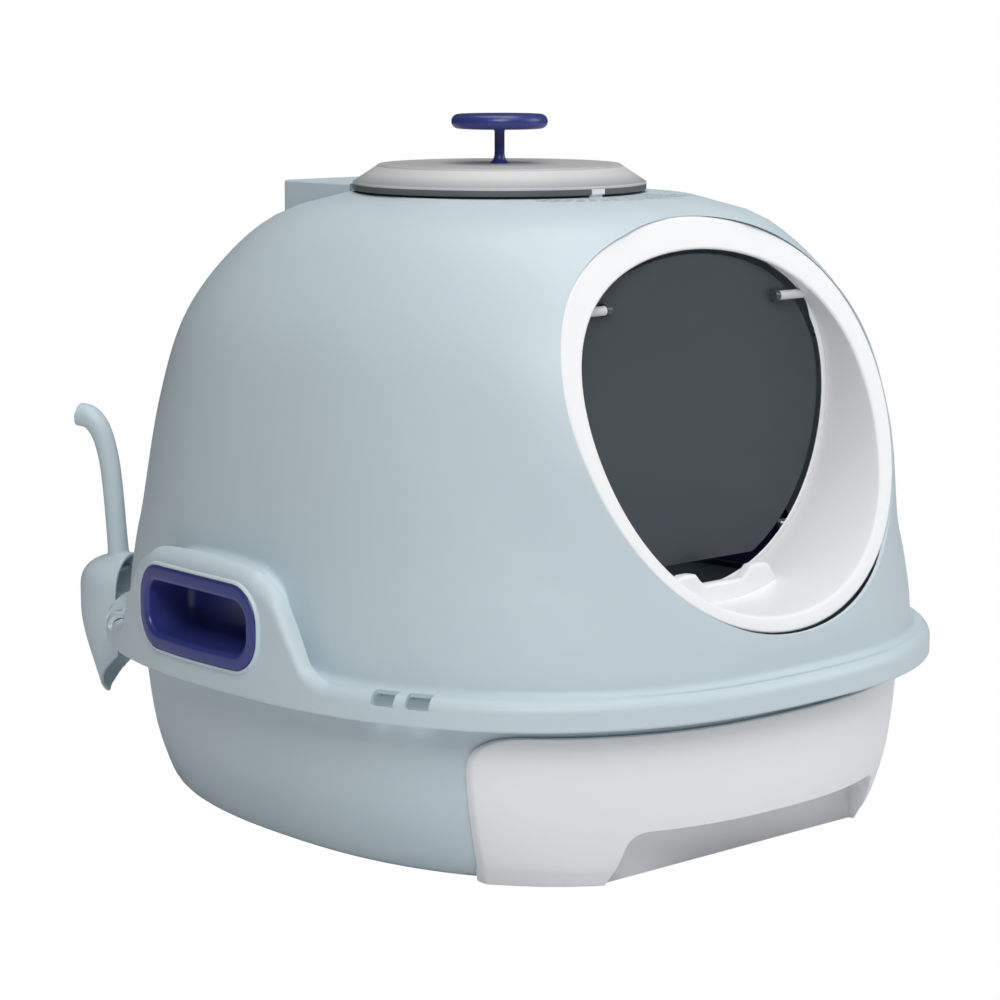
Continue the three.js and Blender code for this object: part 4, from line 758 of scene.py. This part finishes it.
def build_collar():
    edge, inner_edge = 1.8, 2.2
    rings = [on_face(RING_EGG, 0, 26.0), on_face(RING_EGG, 0, 14.0)]
    rings += [on_face(RING_EGG, -edge * (1 - c), edge * (1 - s)) for s, c in quarter(8, 0)]
    outer, inner = on_face(RING_EGG, -edge, 0), on_face(TUNNEL_EGG, inner_edge, 0)
    rings += [outer + (inner - outer) * k / 5 for k in range(1, 6)]
    rings += [on_face(TUNNEL_EGG, inner_edge * (1 - s), inner_edge * (1 - c)) for s, c in quarter(6)]
    start = rings[-1]

    def tunnel_end(grow, before):
        end = on_plane(TUNNEL_EGG, grow, TUNNEL_Y - before)
        end[:, 1] = np.maximum(end[:, 1], start[:, 1] + 1.4 - before)
        return end

    end = tunnel_end(0, 0.9)
    rings += [start + (end - start) * k / 8 for k in range(1, 9)]
    rings.append(tunnel_end(0.7, 0))
    back = on_plane(TUNNEL_EGG, WALL, TUNNEL_Y)
    back[:, 1] = np.maximum(back[:, 1], on_face(TUNNEL_EGG, WALL, 3.7)[:, 1])
    rings += [back, on_face(TUNNEL_EGG, WALL, WALL), on_face(RING_EGG, -WALL - edge, WALL)]
    rings += [on_face(RING_EGG, -WALL, edge + WALL), on_face(RING_EGG, -WALL, 26.0)]
    collar = skin("collar_ring", rings, closed=True)

    def lip(x, y, z):
        ax = np.abs(x)
        low, high = TUNNEL_FLOOR + LIP_LOW, TUNNEL_FLOOR + LIP_HIGH
        places = [0, 17, 21, 25, 29, 37, 41, 46, 60]
        heights = [low, low, low + 3, high - 0.6, high, high, high - 1.5, low, low - 20]
        f = (z - np.interp(ax, places, heights)) * 0.8
        f = smax(f, np.abs(y - LIP_Y) - LIP_HALF_DEPTH, 3.0)
        f = np.maximum(f, ax - LIP_HALF_WIDTH)
        up = (z - RING_Z) / math.cos(RING_TILT)
        rise = np.clip((up - TUNNEL_EGG[2]) / (TUNNEL_EGG[1] + 1.2), -1.2, 1.2)
        wide = (TUNNEL_EGG[0] + 1.2) * (1 + TUNNEL_EGG[3] * rise + TUNNEL_EGG[4] * rise**2)
        inside = (np.sqrt((ax / wide) ** 2 + rise**2) - 1) * TUNNEL_EGG[1]
        return np.maximum(f, inside)

    weld(collar, surface_net("lip", lip, (-50, -203, 155), (50, -188, 187), 0.8))
    core = [on_face(TUNNEL_EGG, 0, -6), on_plane(TUNNEL_EGG, 0, TUNNEL_Y + 6)]
    for x, z in BOSSES:
        boss = rod("boss", "y", 5.0, TUNNEL_Y - 16, TUNNEL_Y, (x, z))
        cut(boss, skin("core", core))
        cut(boss, skin("room", [on_face(RING_EGG, 6, -200), on_face(RING_EGG, 6, 1.3)]))
        weld(collar, boss)
        cut(collar, rod("bore", "y", SCREW_BORE_R, TUNNEL_Y - 13.4, TUNNEL_Y + 6, (x, z)))
    cut_pin_grooves(collar)
    return collar


def build_frame():
    front, rear = TUNNEL_Y + GAP, TUNNEL_Y + GAP + FRAME_DEPTH
    # The inner lip that covers the flap's edge ends below the hinge, where the flap's top swings out
    lip = 1 - rise_between(np.sin(TURNS), 0.55, 0.66)
    places = (
        (front, -2.4 * lip), (front, FRAME_OUT - 0.8), (front + 0.8, FRAME_OUT), (rear, FRAME_OUT), (rear, 6.0),
        (front + 0.7, -3.0 * lip),
    )
    ring = skin("frame_ring", [on_plane(TUNNEL_EGG, grow, y) for y, grow in places], closed=True)
    cut(ring, skin("room", [on_face(RING_EGG, 6, -200), on_face(RING_EGG, 6, 6.7)]))
    for x, z in BOSSES:
        cut(ring, rod("bore", "y", SCREW_BORE_R, front - 6, rear + 6, (x, z)))
    cut_pin_grooves(ring)
    return ring


def build_flap():
    front, back = HINGE_Y + 3.3, HINGE_Y + 4.9
    a, b, lift, *shape = TUNNEL_EGG
    sheet_egg = (a, b, lift + FLAP_LIFT, *shape)
    # Narrower beside the hinge, where the tunnel closes in on the swinging sheet
    inset = FLAP_INSET + FLAP_DRAWN_IN * np.exp(-((np.sin(TURNS) - 0.6) / 0.16) ** 2)
    places = ((front, 0.5), (front + 0.5, 0), (back - 0.5, 0), (back, 0.5))
    sheet = skin("flap_sheet", [on_plane(sheet_egg, -inset - less, y) for y, less in places])
    cut(sheet, box_mesh("low", (-160, -180, 100), (160, -150, TUNNEL_FLOOR + FLAP_FOOT)))
    for side in (-1, 1):
        lug = rod("lug", "x", 3.2, side * 73.6, side * 77.7, (HINGE_Y, HINGE_Z), soft=0.4)
        profile = [(HINGE_Y, -3.3), (front + 0.6, -5), (front + 0.6, 5), (HINGE_Y, 3.3)]
        arm = prism("arm", profile, lambda p, end: (side * (74.4 + 3.0 * end), p[0], HINGE_Z + p[1]))
        weld(lug, arm)
        weld(sheet, lug)
        cut(sheet, rod("bore", "x", 1.8, side * 75, side * 80, (HINGE_Y, HINGE_Z)))
    return sheet


def build_pin(name, side):
    path = [
        (75.2, 1.1), (75.6, 1.5), (77.9, 1.5), (78.0, 1.5), (78.0, 2.6), (78.4, 3.0), (107.6, 3.0), (108, 2.6),
    ]
    return turned_along(name, "x", [(side * x, r) for x, r in path], (HINGE_Y, HINGE_Z))


# ---- hand-hold cups
def build_insert(name, side):
    """Flange that follows the arch's face, rounded over its edge into a deep cup."""
    def ring(inset, proud, flat=None):
        points = cup_outline(side, inset, proud)
        return points if flat is None else [(side * flat, y, z) for _, y, z in points]

    border = CUP_BORDER
    rings = [ring(border + 1.0, 0, 214.8), ring(border - 2.4, 0, 218), ring(border - 2.4, 0, 246)]
    rings += [ring(border - 2.4, 0.3), ring(0.2, 0.3), ring(0, 0.6)]
    rings += [ring(1.4 * (1 - c), 0.9 + 1.5 * s) for s, c in quarter(6, 0)]
    rings.append(ring(border - 3.4, 2.4))
    rings += [ring(border - 3.4 + 3.4 * s, 2.4 - 3.4 * (1 - c)) for s, c in quarter(7)]
    rings += [ring(border, 0, 246), ring(border + 2.0, 0, 226)]
    rings += [ring(border + 2.0 + 6.0 * (1 - c), 0, 224 - 6.0 * s) for s, c in quarter(6)]
    rings.append(ring(border + 14, 0, 218))
    return skin(name, rings)


# ---- lid, catch, knob
def build_lid():
    lid = turned("lid_shell", LID_OUTSIDE + LID_INSIDE, steps=192)
    section = [(110, 415.2), (119, 415.2), (119, 419.6), (112, 419.6), (110, 418.4)]
    tongue = skin("tongue", [[(x, *p) for p in section] for x in (-10, 10)])
    path = [(-10, 3.5), (-9.6, HINGE_BAR_R), (9.6, HINGE_BAR_R), (10, 3.5)]
    barrel = turned_along("barrel", "x", path, (HINGE_BAR_Y, HINGE_BAR_Z), sides=32)
    weld(lid, tongue)
    weld(lid, barrel)
    x0, x1, z0, z1 = CATCH
    window = skin("window", [[(x0, y, z0), (x1, y, z0), (x1, y, z1), (x0, y, z1)] for y in (-90, -78)])
    cut(lid, window)
    return lid


def build_catch():
    """Small snap catch in the window of the lid's skirt."""
    x0, x1, z0, z1 = CATCH
    catch = box_mesh("catch", (x0 + 0.2, -81.9, DECK_Z - 0.4), (x1 - 0.2, -80.0, z1 - 0.2))
    section = [(-84.2, z0 + 0.6), (-83.8, z0 + 0.2), (-81.0, z0 + 0.2), (-81.0, z1 - 0.2), (-84.2, z1 - 0.2)]
    nose = prism("nose", section, lambda p, end: (x0 + 0.2 + (x1 - x0 - 0.4) * end, *p))
    return weld(catch, nose)


def build_knob():
    foot, grip, stem, half = KNOB_FOOT, KNOB_DISC, KNOB_STEM_R, KNOB_HALF
    points = [(0, foot), (6.6, foot), (6.8, foot + 0.3)]
    points += [(6.8 - stem * s, foot + 0.5 + 6.3 * (1 - c)) for s, c in quarter(8)]
    points += [(stem, foot + 9), (stem, grip - 2.4)]
    points += [(stem + 2.2 * (1 - c), grip - 2.4 + 2.2 * s) for s, c in quarter(5)]
    for k in range(17):
        a = -math.pi / 2 + math.pi * k / 16
        points.append((KNOB_R - half + half * math.cos(a), grip + half - 0.1 + half * math.sin(a)))
    points += [(20, grip + 2 * half - 0.25), (0, grip + 2 * half - 0.35)]
    return turned("knob_turned", points, steps=96)


# ---- scoop
SCOOP_TURN = 2.07
SCOOP_TOP, SCOOP_OPEN, SCOOP_LENGTH, SCOOP_SHOULDER = 149.0, 3.0, 103.0, 26.0
SCOOP_PATH = catmull(
    [(13.2, 138.0), (14.0, 154.2), (17.0, 195.0), (20.0, 218.0), (25.5, 236.0), (33.5, 245.6), (42.6, 247.6)],
    120,
)


def place_at_scoop(obj):
    """Moves a mesh from the scoop's own directions to its place on the rim."""
    n = np.array([math.cos(SCOOP_TURN), math.sin(SCOOP_TURN)])
    dual = RIM_REAR_P / (RIM_REAR_P - 1)
    a, b = RIM_A * abs(n[0]), RIM_B * n[1]
    support = (a**dual + b**dual) ** (1 / dual)
    x = math.copysign(RIM_A * (a / support) ** (dual - 1), n[0])
    y = RIM_B * (b / support) ** (dual - 1)
    turn = Matrix.Rotation(SCOOP_TURN, 4, "Z")
    turn.translation = Vector((x * MM, y * MM, 0))
    obj.data.transform(turn)


def handle_distance(x, z):
    """Distance in the scoop's middle plane to the line of its handle, and the share of the way along it."""
    tangent = np.gradient(SCOOP_PATH, axis=0)
    tangent /= np.linalg.norm(tangent, axis=1)[:, None]
    best = np.full(x.shape, 1e9)
    share = np.zeros(x.shape)
    beyond = np.zeros(x.shape)
    for i, ((px, pz), (tx, tz)) in enumerate(zip(SCOOP_PATH, tangent)):
        dx, dz = x - px, z - pz
        square = dx * dx + dz * dz
        closer = square < best
        along = dx * tx + dz * tz
        best = np.where(closer, square, best)
        share = np.where(closer, i / (len(SCOOP_PATH) - 1), share)
        beyond = np.where(closer, along, beyond)
    return np.sqrt(np.maximum(best - beyond**2, 0)), share, beyond


def scoop_field(x, y, z):
    """Field of the scoop in its own directions: x out of the hood, y along it, z up."""
    drop = SCOOP_TOP - z
    late = rise_between(drop / SCOOP_LENGTH, 0.36, 1.2) * 1.12
    w, d = 27.5 * (1 - 0.26 * late), 39.3 * (1 - 0.45 * late)
    u, v = (x - SCOOP_OPEN) / d, y / w
    outer = (np.hypot(u, v) - 1) * (d + w) / 2
    top = np.maximum(SCOOP_SHOULDER - drop, 0) / SCOOP_SHOULDER
    over = (np.abs(u) ** 2.6 + top**2.6) ** (1 / 1.3)
    outer = np.where(drop < SCOOP_SHOULDER, (np.sqrt(over + v**2) - 1) * 28, outer)
    trough = np.maximum(outer, -outer - 2.4)
    edge = np.clip(np.abs(np.arctan2(v, np.maximum(u, 1e-6))) / 1.4, 0, 1.2)
    trough = np.maximum(trough, (drop - (SCOOP_LENGTH - 20 * edge - 8 * edge**2)) * 0.7)
    web = np.maximum(np.maximum(np.abs(z - 135.5) - 1.2, outer + 0.5), 14 - x)
    trough = np.maximum(np.minimum(trough, web), SCOOP_OPEN - x)
    if x.ndim == 3:
        flat, share, beyond = handle_distance(x[:, :1, :], z[:, :1, :])
    else:
        flat, share, beyond = handle_distance(x, z)
    thick = 7.2 + 1.1 * rise_between(share, 0.5, 0.9) + 1.8 * np.clip(1 - share / 0.25, 0, 1) ** 2
    rod_part = np.hypot(flat, y) - thick
    rod_part = np.where(share > 0.5, smax(rod_part, np.where(share > 0.999, beyond, -50.0), 2.0), rod_part)
    rod_part = np.maximum(rod_part, np.minimum(-outer - 1.2, SCOOP_TOP - 4 - z))
    return smin(trough, rod_part, 2.0)


def build_scoop():
    obj = surface_net("scoop_body", scoop_field, (-2, -36, 38), (54, 36, 262), 1.1)
    place_at_scoop(obj)
    return obj


# ---- tray
def build_tray():
    low, high, wall = TRAY_LOW_HALF, TRAY_HIGH_HALF, TRAY_WALL
    z0, z1 = 4.8, 87.8

    def ring(z, inset, half):
        side, front, back = half - inset, TRAY_FRONT + inset, TRAY_REAR - inset
        fr, br = 45 - inset, 60 - inset
        points = []
        for cx, cy, r, start in ((side - fr, front + fr, fr, -90), (side - br, back - br, br, 0),
                                 (-side + br, back - br, br, 90), (-side + fr, front + fr, fr, 180)):
            for k in range(13):
                a = math.radians(start + 90 * k / 12)
                points.append((cx + r * math.cos(a), cy + r * math.sin(a), z))
        return points

    outside = [ring(z0, 2.5, low), ring(z0 + 0.8, 0.7, low), ring(z0 + 2.5, 0, low), ring(z1 - wall, 0, high)]
    edge = [ring(z1 - wall, -4, high), ring(z1 - 0.6, -4, high), ring(z1, -3.4, high)]
    inside = [ring(z1, wall - 0.6, high), ring(z1 - 0.6, wall, high)]
    inside += [ring(z0 + wall + 3, wall, low), ring(z0 + wall, wall + 3, low)]
    tray = skin("tray_skin", outside + edge + inside)
    for side in (-1, 1):
        cut(tray, rod("bore", "y", SCREW_BORE_R, TRAY_FRONT - 6, TRAY_FRONT + 20, (side * SCREW_X, SCREW_Z)))
    return tray


# ---- materials
def srgb(r, g, b):
    def one(c):
        c = c / 255
        return c / 12.92 if c <= 0.04045 else ((c + 0.055) / 1.055) ** 2.4
    return (one(r), one(g), one(b), 1.0)


def add_node(nodes, kind, inputs=None):
    """New shader node with the values of its inputs."""
    node = nodes.new("ShaderNode" + kind)
    for name, value in (inputs or {}).items():
        node.inputs[name].default_value = value
    return node


def moulded(name, colour, roughness=0.42, grain=0.06, grain_scale=1400, shade=0.05):
    """Moulded plastic: a fine satin grain, faint flow clouds in the colour and uneven gloss."""
    material = bpy.data.materials.new(name)
    material.use_nodes = True
    nodes, links = material.node_tree.nodes, material.node_tree.links
    shader = nodes["Principled BSDF"]
    coords = add_node(nodes, "TexCoord")

    clouds = add_node(nodes, "TexNoise", {"Scale": 9, "Detail": 3})
    links.new(coords.outputs["Object"], clouds.inputs["Vector"])
    mix = add_node(nodes, "Mix")
    mix.data_type = "RGBA"
    dark = tuple(c * (1 - shade) for c in colour[:3]) + (1,)
    light = tuple(min(1, c * (1 + shade)) for c in colour[:3]) + (1,)
    mix.inputs["A"].default_value = dark
    mix.inputs["B"].default_value = light
    links.new(clouds.outputs["Fac"], mix.inputs["Factor"])
    links.new(mix.outputs["Result"], shader.inputs["Base Color"])

    fine = add_node(nodes, "TexNoise", {"Scale": grain_scale, "Detail": 2})
    links.new(coords.outputs["Object"], fine.inputs["Vector"])
    bump = add_node(nodes, "Bump", {"Strength": grain, "Distance": 0.0002})
    links.new(fine.outputs["Fac"], bump.inputs["Height"])
    links.new(bump.outputs["Normal"], shader.inputs["Normal"])

    gloss = add_node(nodes, "MapRange", {"To Min": roughness - 0.05, "To Max": roughness + 0.05})
    links.new(clouds.outputs["Fac"], gloss.inputs["Value"])
    links.new(gloss.outputs["Result"], shader.inputs["Roughness"])
    return material


def by_height(material, stops, low, high):
    """Colours the material by height, between low and high in millimetres: the stops are (height, colour),
    multiplied into its colour. Below it paints shade and highlights into the lid and the flap.
    """
    nodes, links = material.node_tree.nodes, material.node_tree.links
    coords = next(n for n in nodes if n.type == "TEX_COORD")
    mix = next(n for n in nodes if n.type == "MIX")
    split = add_node(nodes, "SeparateXYZ")
    links.new(coords.outputs["Object"], split.inputs["Vector"])
    share = add_node(nodes, "MapRange", {"From Min": low * MM, "From Max": high * MM})
    links.new(split.outputs["Z"], share.inputs["Value"])
    ramp = add_node(nodes, "ValToRGB")
    links.new(share.outputs["Result"], ramp.inputs["Fac"])
    places = ramp.color_ramp.elements
    for k in (-1, 0):
        places[k].position, places[k].color = (stops[k][0] - low) / (high - low), stops[k][1]
    for height, colour in stops[1:-1]:
        places.new((height - low) / (high - low)).color = colour
    # The ramp multiplies the colour: painted shade and highlights, and on the lid also the dark seal seen through
    # the skirt
    seen_through_and_painted_light = add_node(nodes, "Mix", {"Factor": 1.0})
    seen_through_and_painted_light.data_type = "RGBA"
    seen_through_and_painted_light.blend_type = "MULTIPLY"
    links.new(mix.outputs["Result"], seen_through_and_painted_light.inputs["A"])
    links.new(ramp.outputs["Color"], seen_through_and_painted_light.inputs["B"])
    links.new(seen_through_and_painted_light.outputs["Result"], nodes["Principled BSDF"].inputs["Base Color"])


def finish_piece(obj, body, slot, node, angle=35):
    """Smooth shading, material, body, slot and the node that the piece stands for."""
    smooth(obj, angle)
    obj.data.materials.clear()
    obj.data.materials.append(looks[slot])
    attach(obj, body)
    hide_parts(node)


shell = moulded("shell_plastic_look", srgb(202, 217, 224), 0.45, shade=0.02)
white = moulded("white_plastic_look", srgb(243, 244, 246), 0.42, shade=0.02)
blue = moulded("blue_plastic_look", srgb(54, 62, 132), 0.3, shade=0.08)
frosted = moulded("frosted_plastic_look", srgb(208, 208, 208), 0.45, shade=0.03)
# Painted light on the lid: the skirt's lower band is darkened for the dark seal and the shaded room behind it,
# partly the seal's own colour and partly painted shade. A painted highlight line runs along the skirt's top. The
# bevel has painted shade at its foot, fading upwards. A painted dark line marks the edge of the top disc, which is
# kept a little darker than the bevel's top.
by_height(frosted, [
    (413.2, srgb(116, 120, 124)), (417.0, srgb(126, 130, 134)), (417.3, srgb(255, 255, 255)),
    (418.5, srgb(255, 255, 255)), (419.0, srgb(196, 198, 201)), (421.5, srgb(222, 223, 225)),
    (425.0, srgb(252, 252, 252)), (428.6, srgb(255, 255, 255)), (429.0, srgb(220, 220, 222)),
    (429.7, srgb(232, 232, 234)),
], 413.0, 430.5)
smoky = moulded("smoky_plastic_look", srgb(66, 74, 78), 0.3, grain=0.02, shade=0.05)
# Painted shade on the flap: it darkens and turns bluer towards its foot, standing for the shaded room seen through
# it.
by_height(smoky, [
    (150, srgb(196, 196, 206)), (215, srgb(216, 216, 228)), (270, srgb(246, 246, 248)),
    (380, srgb(255, 255, 255)),
], 150.0, 390.0)
pin_white = moulded("pin_plastic_look", srgb(214, 214, 218), 0.45)
rubber = moulded("rubber_look", srgb(40, 43, 46), 0.75, grain=0.2, grain_scale=700)
charcoal = moulded("charcoal_look", srgb(44, 45, 47), 0.95, grain=0.9, grain_scale=500, shade=0.25)
steel = moulded("steel_look", srgb(190, 192, 195), 0.3, grain=0.1, grain_scale=900, shade=0.05)
steel.node_tree.nodes["Principled BSDF"].inputs["Metallic"].default_value = 1.0

looks = {
    "shell_plastic": shell, "white_plastic": white, "blue_plastic": blue, "frosted_plastic": frosted,
    "smoky_plastic": smoky, "pin_plastic": pin_white,
}
finish_piece(build_hood(), "hood", "shell_plastic", "hood_shell")
finish_piece(build_pan(), "pan", "shell_plastic", "base_shell")
finish_piece(build_front(), "drawer", "white_plastic", "drawer_front", 28)
finish_piece(build_collar(), "hood", "white_plastic", "entry_collar")
finish_piece(build_frame(), "hood", "white_plastic", "flap_frame")
finish_piece(build_flap(), "flap", "smoky_plastic", "entry_flap")
finish_piece(build_pin("pin_left", -1), "hood", "pin_plastic", "flap_pin_left")
finish_piece(build_pin("pin_right", 1), "hood", "pin_plastic", "flap_pin_right")
finish_piece(build_insert("cup_left", -1), "hood", "blue_plastic", "handle_insert_left")
finish_piece(build_insert("cup_right", 1), "hood", "blue_plastic", "handle_insert_right")
finish_piece(build_lid(), "lid", "frosted_plastic", "vent_lid", 22)
finish_piece(build_catch(), "hood", "white_plastic", "lid_catch")
finish_piece(build_knob(), "lid", "blue_plastic", "lid_knob")
finish_piece(build_scoop(), "scoop", "shell_plastic", "scoop", 50)
finish_piece(build_tray(), "drawer", "white_plastic", "litter_tray")

# CAD nodes that stay as they are, with materials of their own
kept = {"lid_seal": rubber, "filter_tray": white, "charcoal_filter": charcoal, "lid_hinge_pin": steel}
for screw in ("knob_screw", "drawer_screw_left", "drawer_screw_right", *(f"collar_screw_{k}" for k in range(1, 5))):
    kept[screw] = steel
for node, material in kept.items():
    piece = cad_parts[node]
    piece.data.materials.clear()
    piece.data.materials.append(material)
    smooth(piece)

# ---- floor, world, lights, camera
WORLD_LEVEL = 0.05
LAMP_AIM = (0, 0, 0.25)
CAMERA_PLACE, CAMERA_PITCH, CAMERA_YAW, CAMERA_LENS = (-1.2861, -1.4320, 0.5183), 9.33, 41.64, 102.79

scene = bpy.context.scene
scene.view_settings.view_transform = "Standard"


def floor_material():
    material = bpy.data.materials.new("floor_look")
    material.use_nodes = True
    nodes, links = material.node_tree.nodes, material.node_tree.links
    nodes.clear()
    out = add_node(nodes, "OutputMaterial")
    diffuse = add_node(nodes, "BsdfDiffuse", {"Color": (0.85, 0.85, 0.86, 1)})
    glow = add_node(nodes, "Emission", {"Color": (1, 1, 1, 1), "Strength": 1.0})
    path = add_node(nodes, "LightPath")
    mix = add_node(nodes, "MixShader")
    links.new(path.outputs["Is Camera Ray"], mix.inputs["Fac"])
    links.new(diffuse.outputs[0], mix.inputs[1])
    links.new(glow.outputs[0], mix.inputs[2])
    links.new(mix.outputs[0], out.inputs["Surface"])
    return material


floor_mesh = bpy.data.meshes.new("floor")
floor_mesh.from_pydata([(-8, -8, 0), (8, -8, 0), (8, 8, 0), (-8, 8, 0)], [], [(0, 1, 2, 3)])
floor = bpy.data.objects.new("floor", floor_mesh)
floor.data.materials.append(floor_material())
scene.collection.objects.link(floor)

world = bpy.data.worlds.new("studio")
world.use_nodes = True
scene.world = world
nodes, links = world.node_tree.nodes, world.node_tree.links
background = nodes["Background"]
background.inputs["Color"].default_value = (1, 1, 1, 1)
path = add_node(nodes, "LightPath")
level = add_node(nodes, "MapRange", {"To Min": WORLD_LEVEL, "To Max": 1.0})
links.new(path.outputs["Is Camera Ray"], level.inputs["Value"])
links.new(level.outputs["Result"], background.inputs["Strength"])


def area_light(name, place, power, aim=LAMP_AIM, size=1.5):
    light = bpy.data.lights.new(name, "AREA")
    light.shape = "RECTANGLE"
    light.size = light.size_y = size
    light.energy = power
    obj = bpy.data.objects.new(name, light)
    obj.location = place
    direction = Vector(aim) - Vector(place)
    obj.rotation_euler = direction.to_track_quat("-Z", "Y").to_euler()
    scene.collection.objects.link(obj)


area_light("key", (-1.6, -1.9, 2.3), 54)
area_light("fill", (1.9, -1.4, 1.4), 19)
area_light("top", (0.2, 0.4, 2.6), 18)
area_light("front_top", (0.1, -0.9, 2.8), 15)
area_light("cabin", (0, -0.01, 0.38), 0.02, aim=(0, 0, 0.1), size=0.14)

camera_data = bpy.data.cameras.new("camera")
camera_data.sensor_width = 36
camera_data.lens = CAMERA_LENS
camera_data.clip_end = 50
camera = bpy.data.objects.new("camera", camera_data)
camera.location = CAMERA_PLACE
camera.rotation_euler = (math.radians(90 - CAMERA_PITCH), 0, math.radians(-CAMERA_YAW))
scene.collection.objects.link(camera)
scene.camera = camera
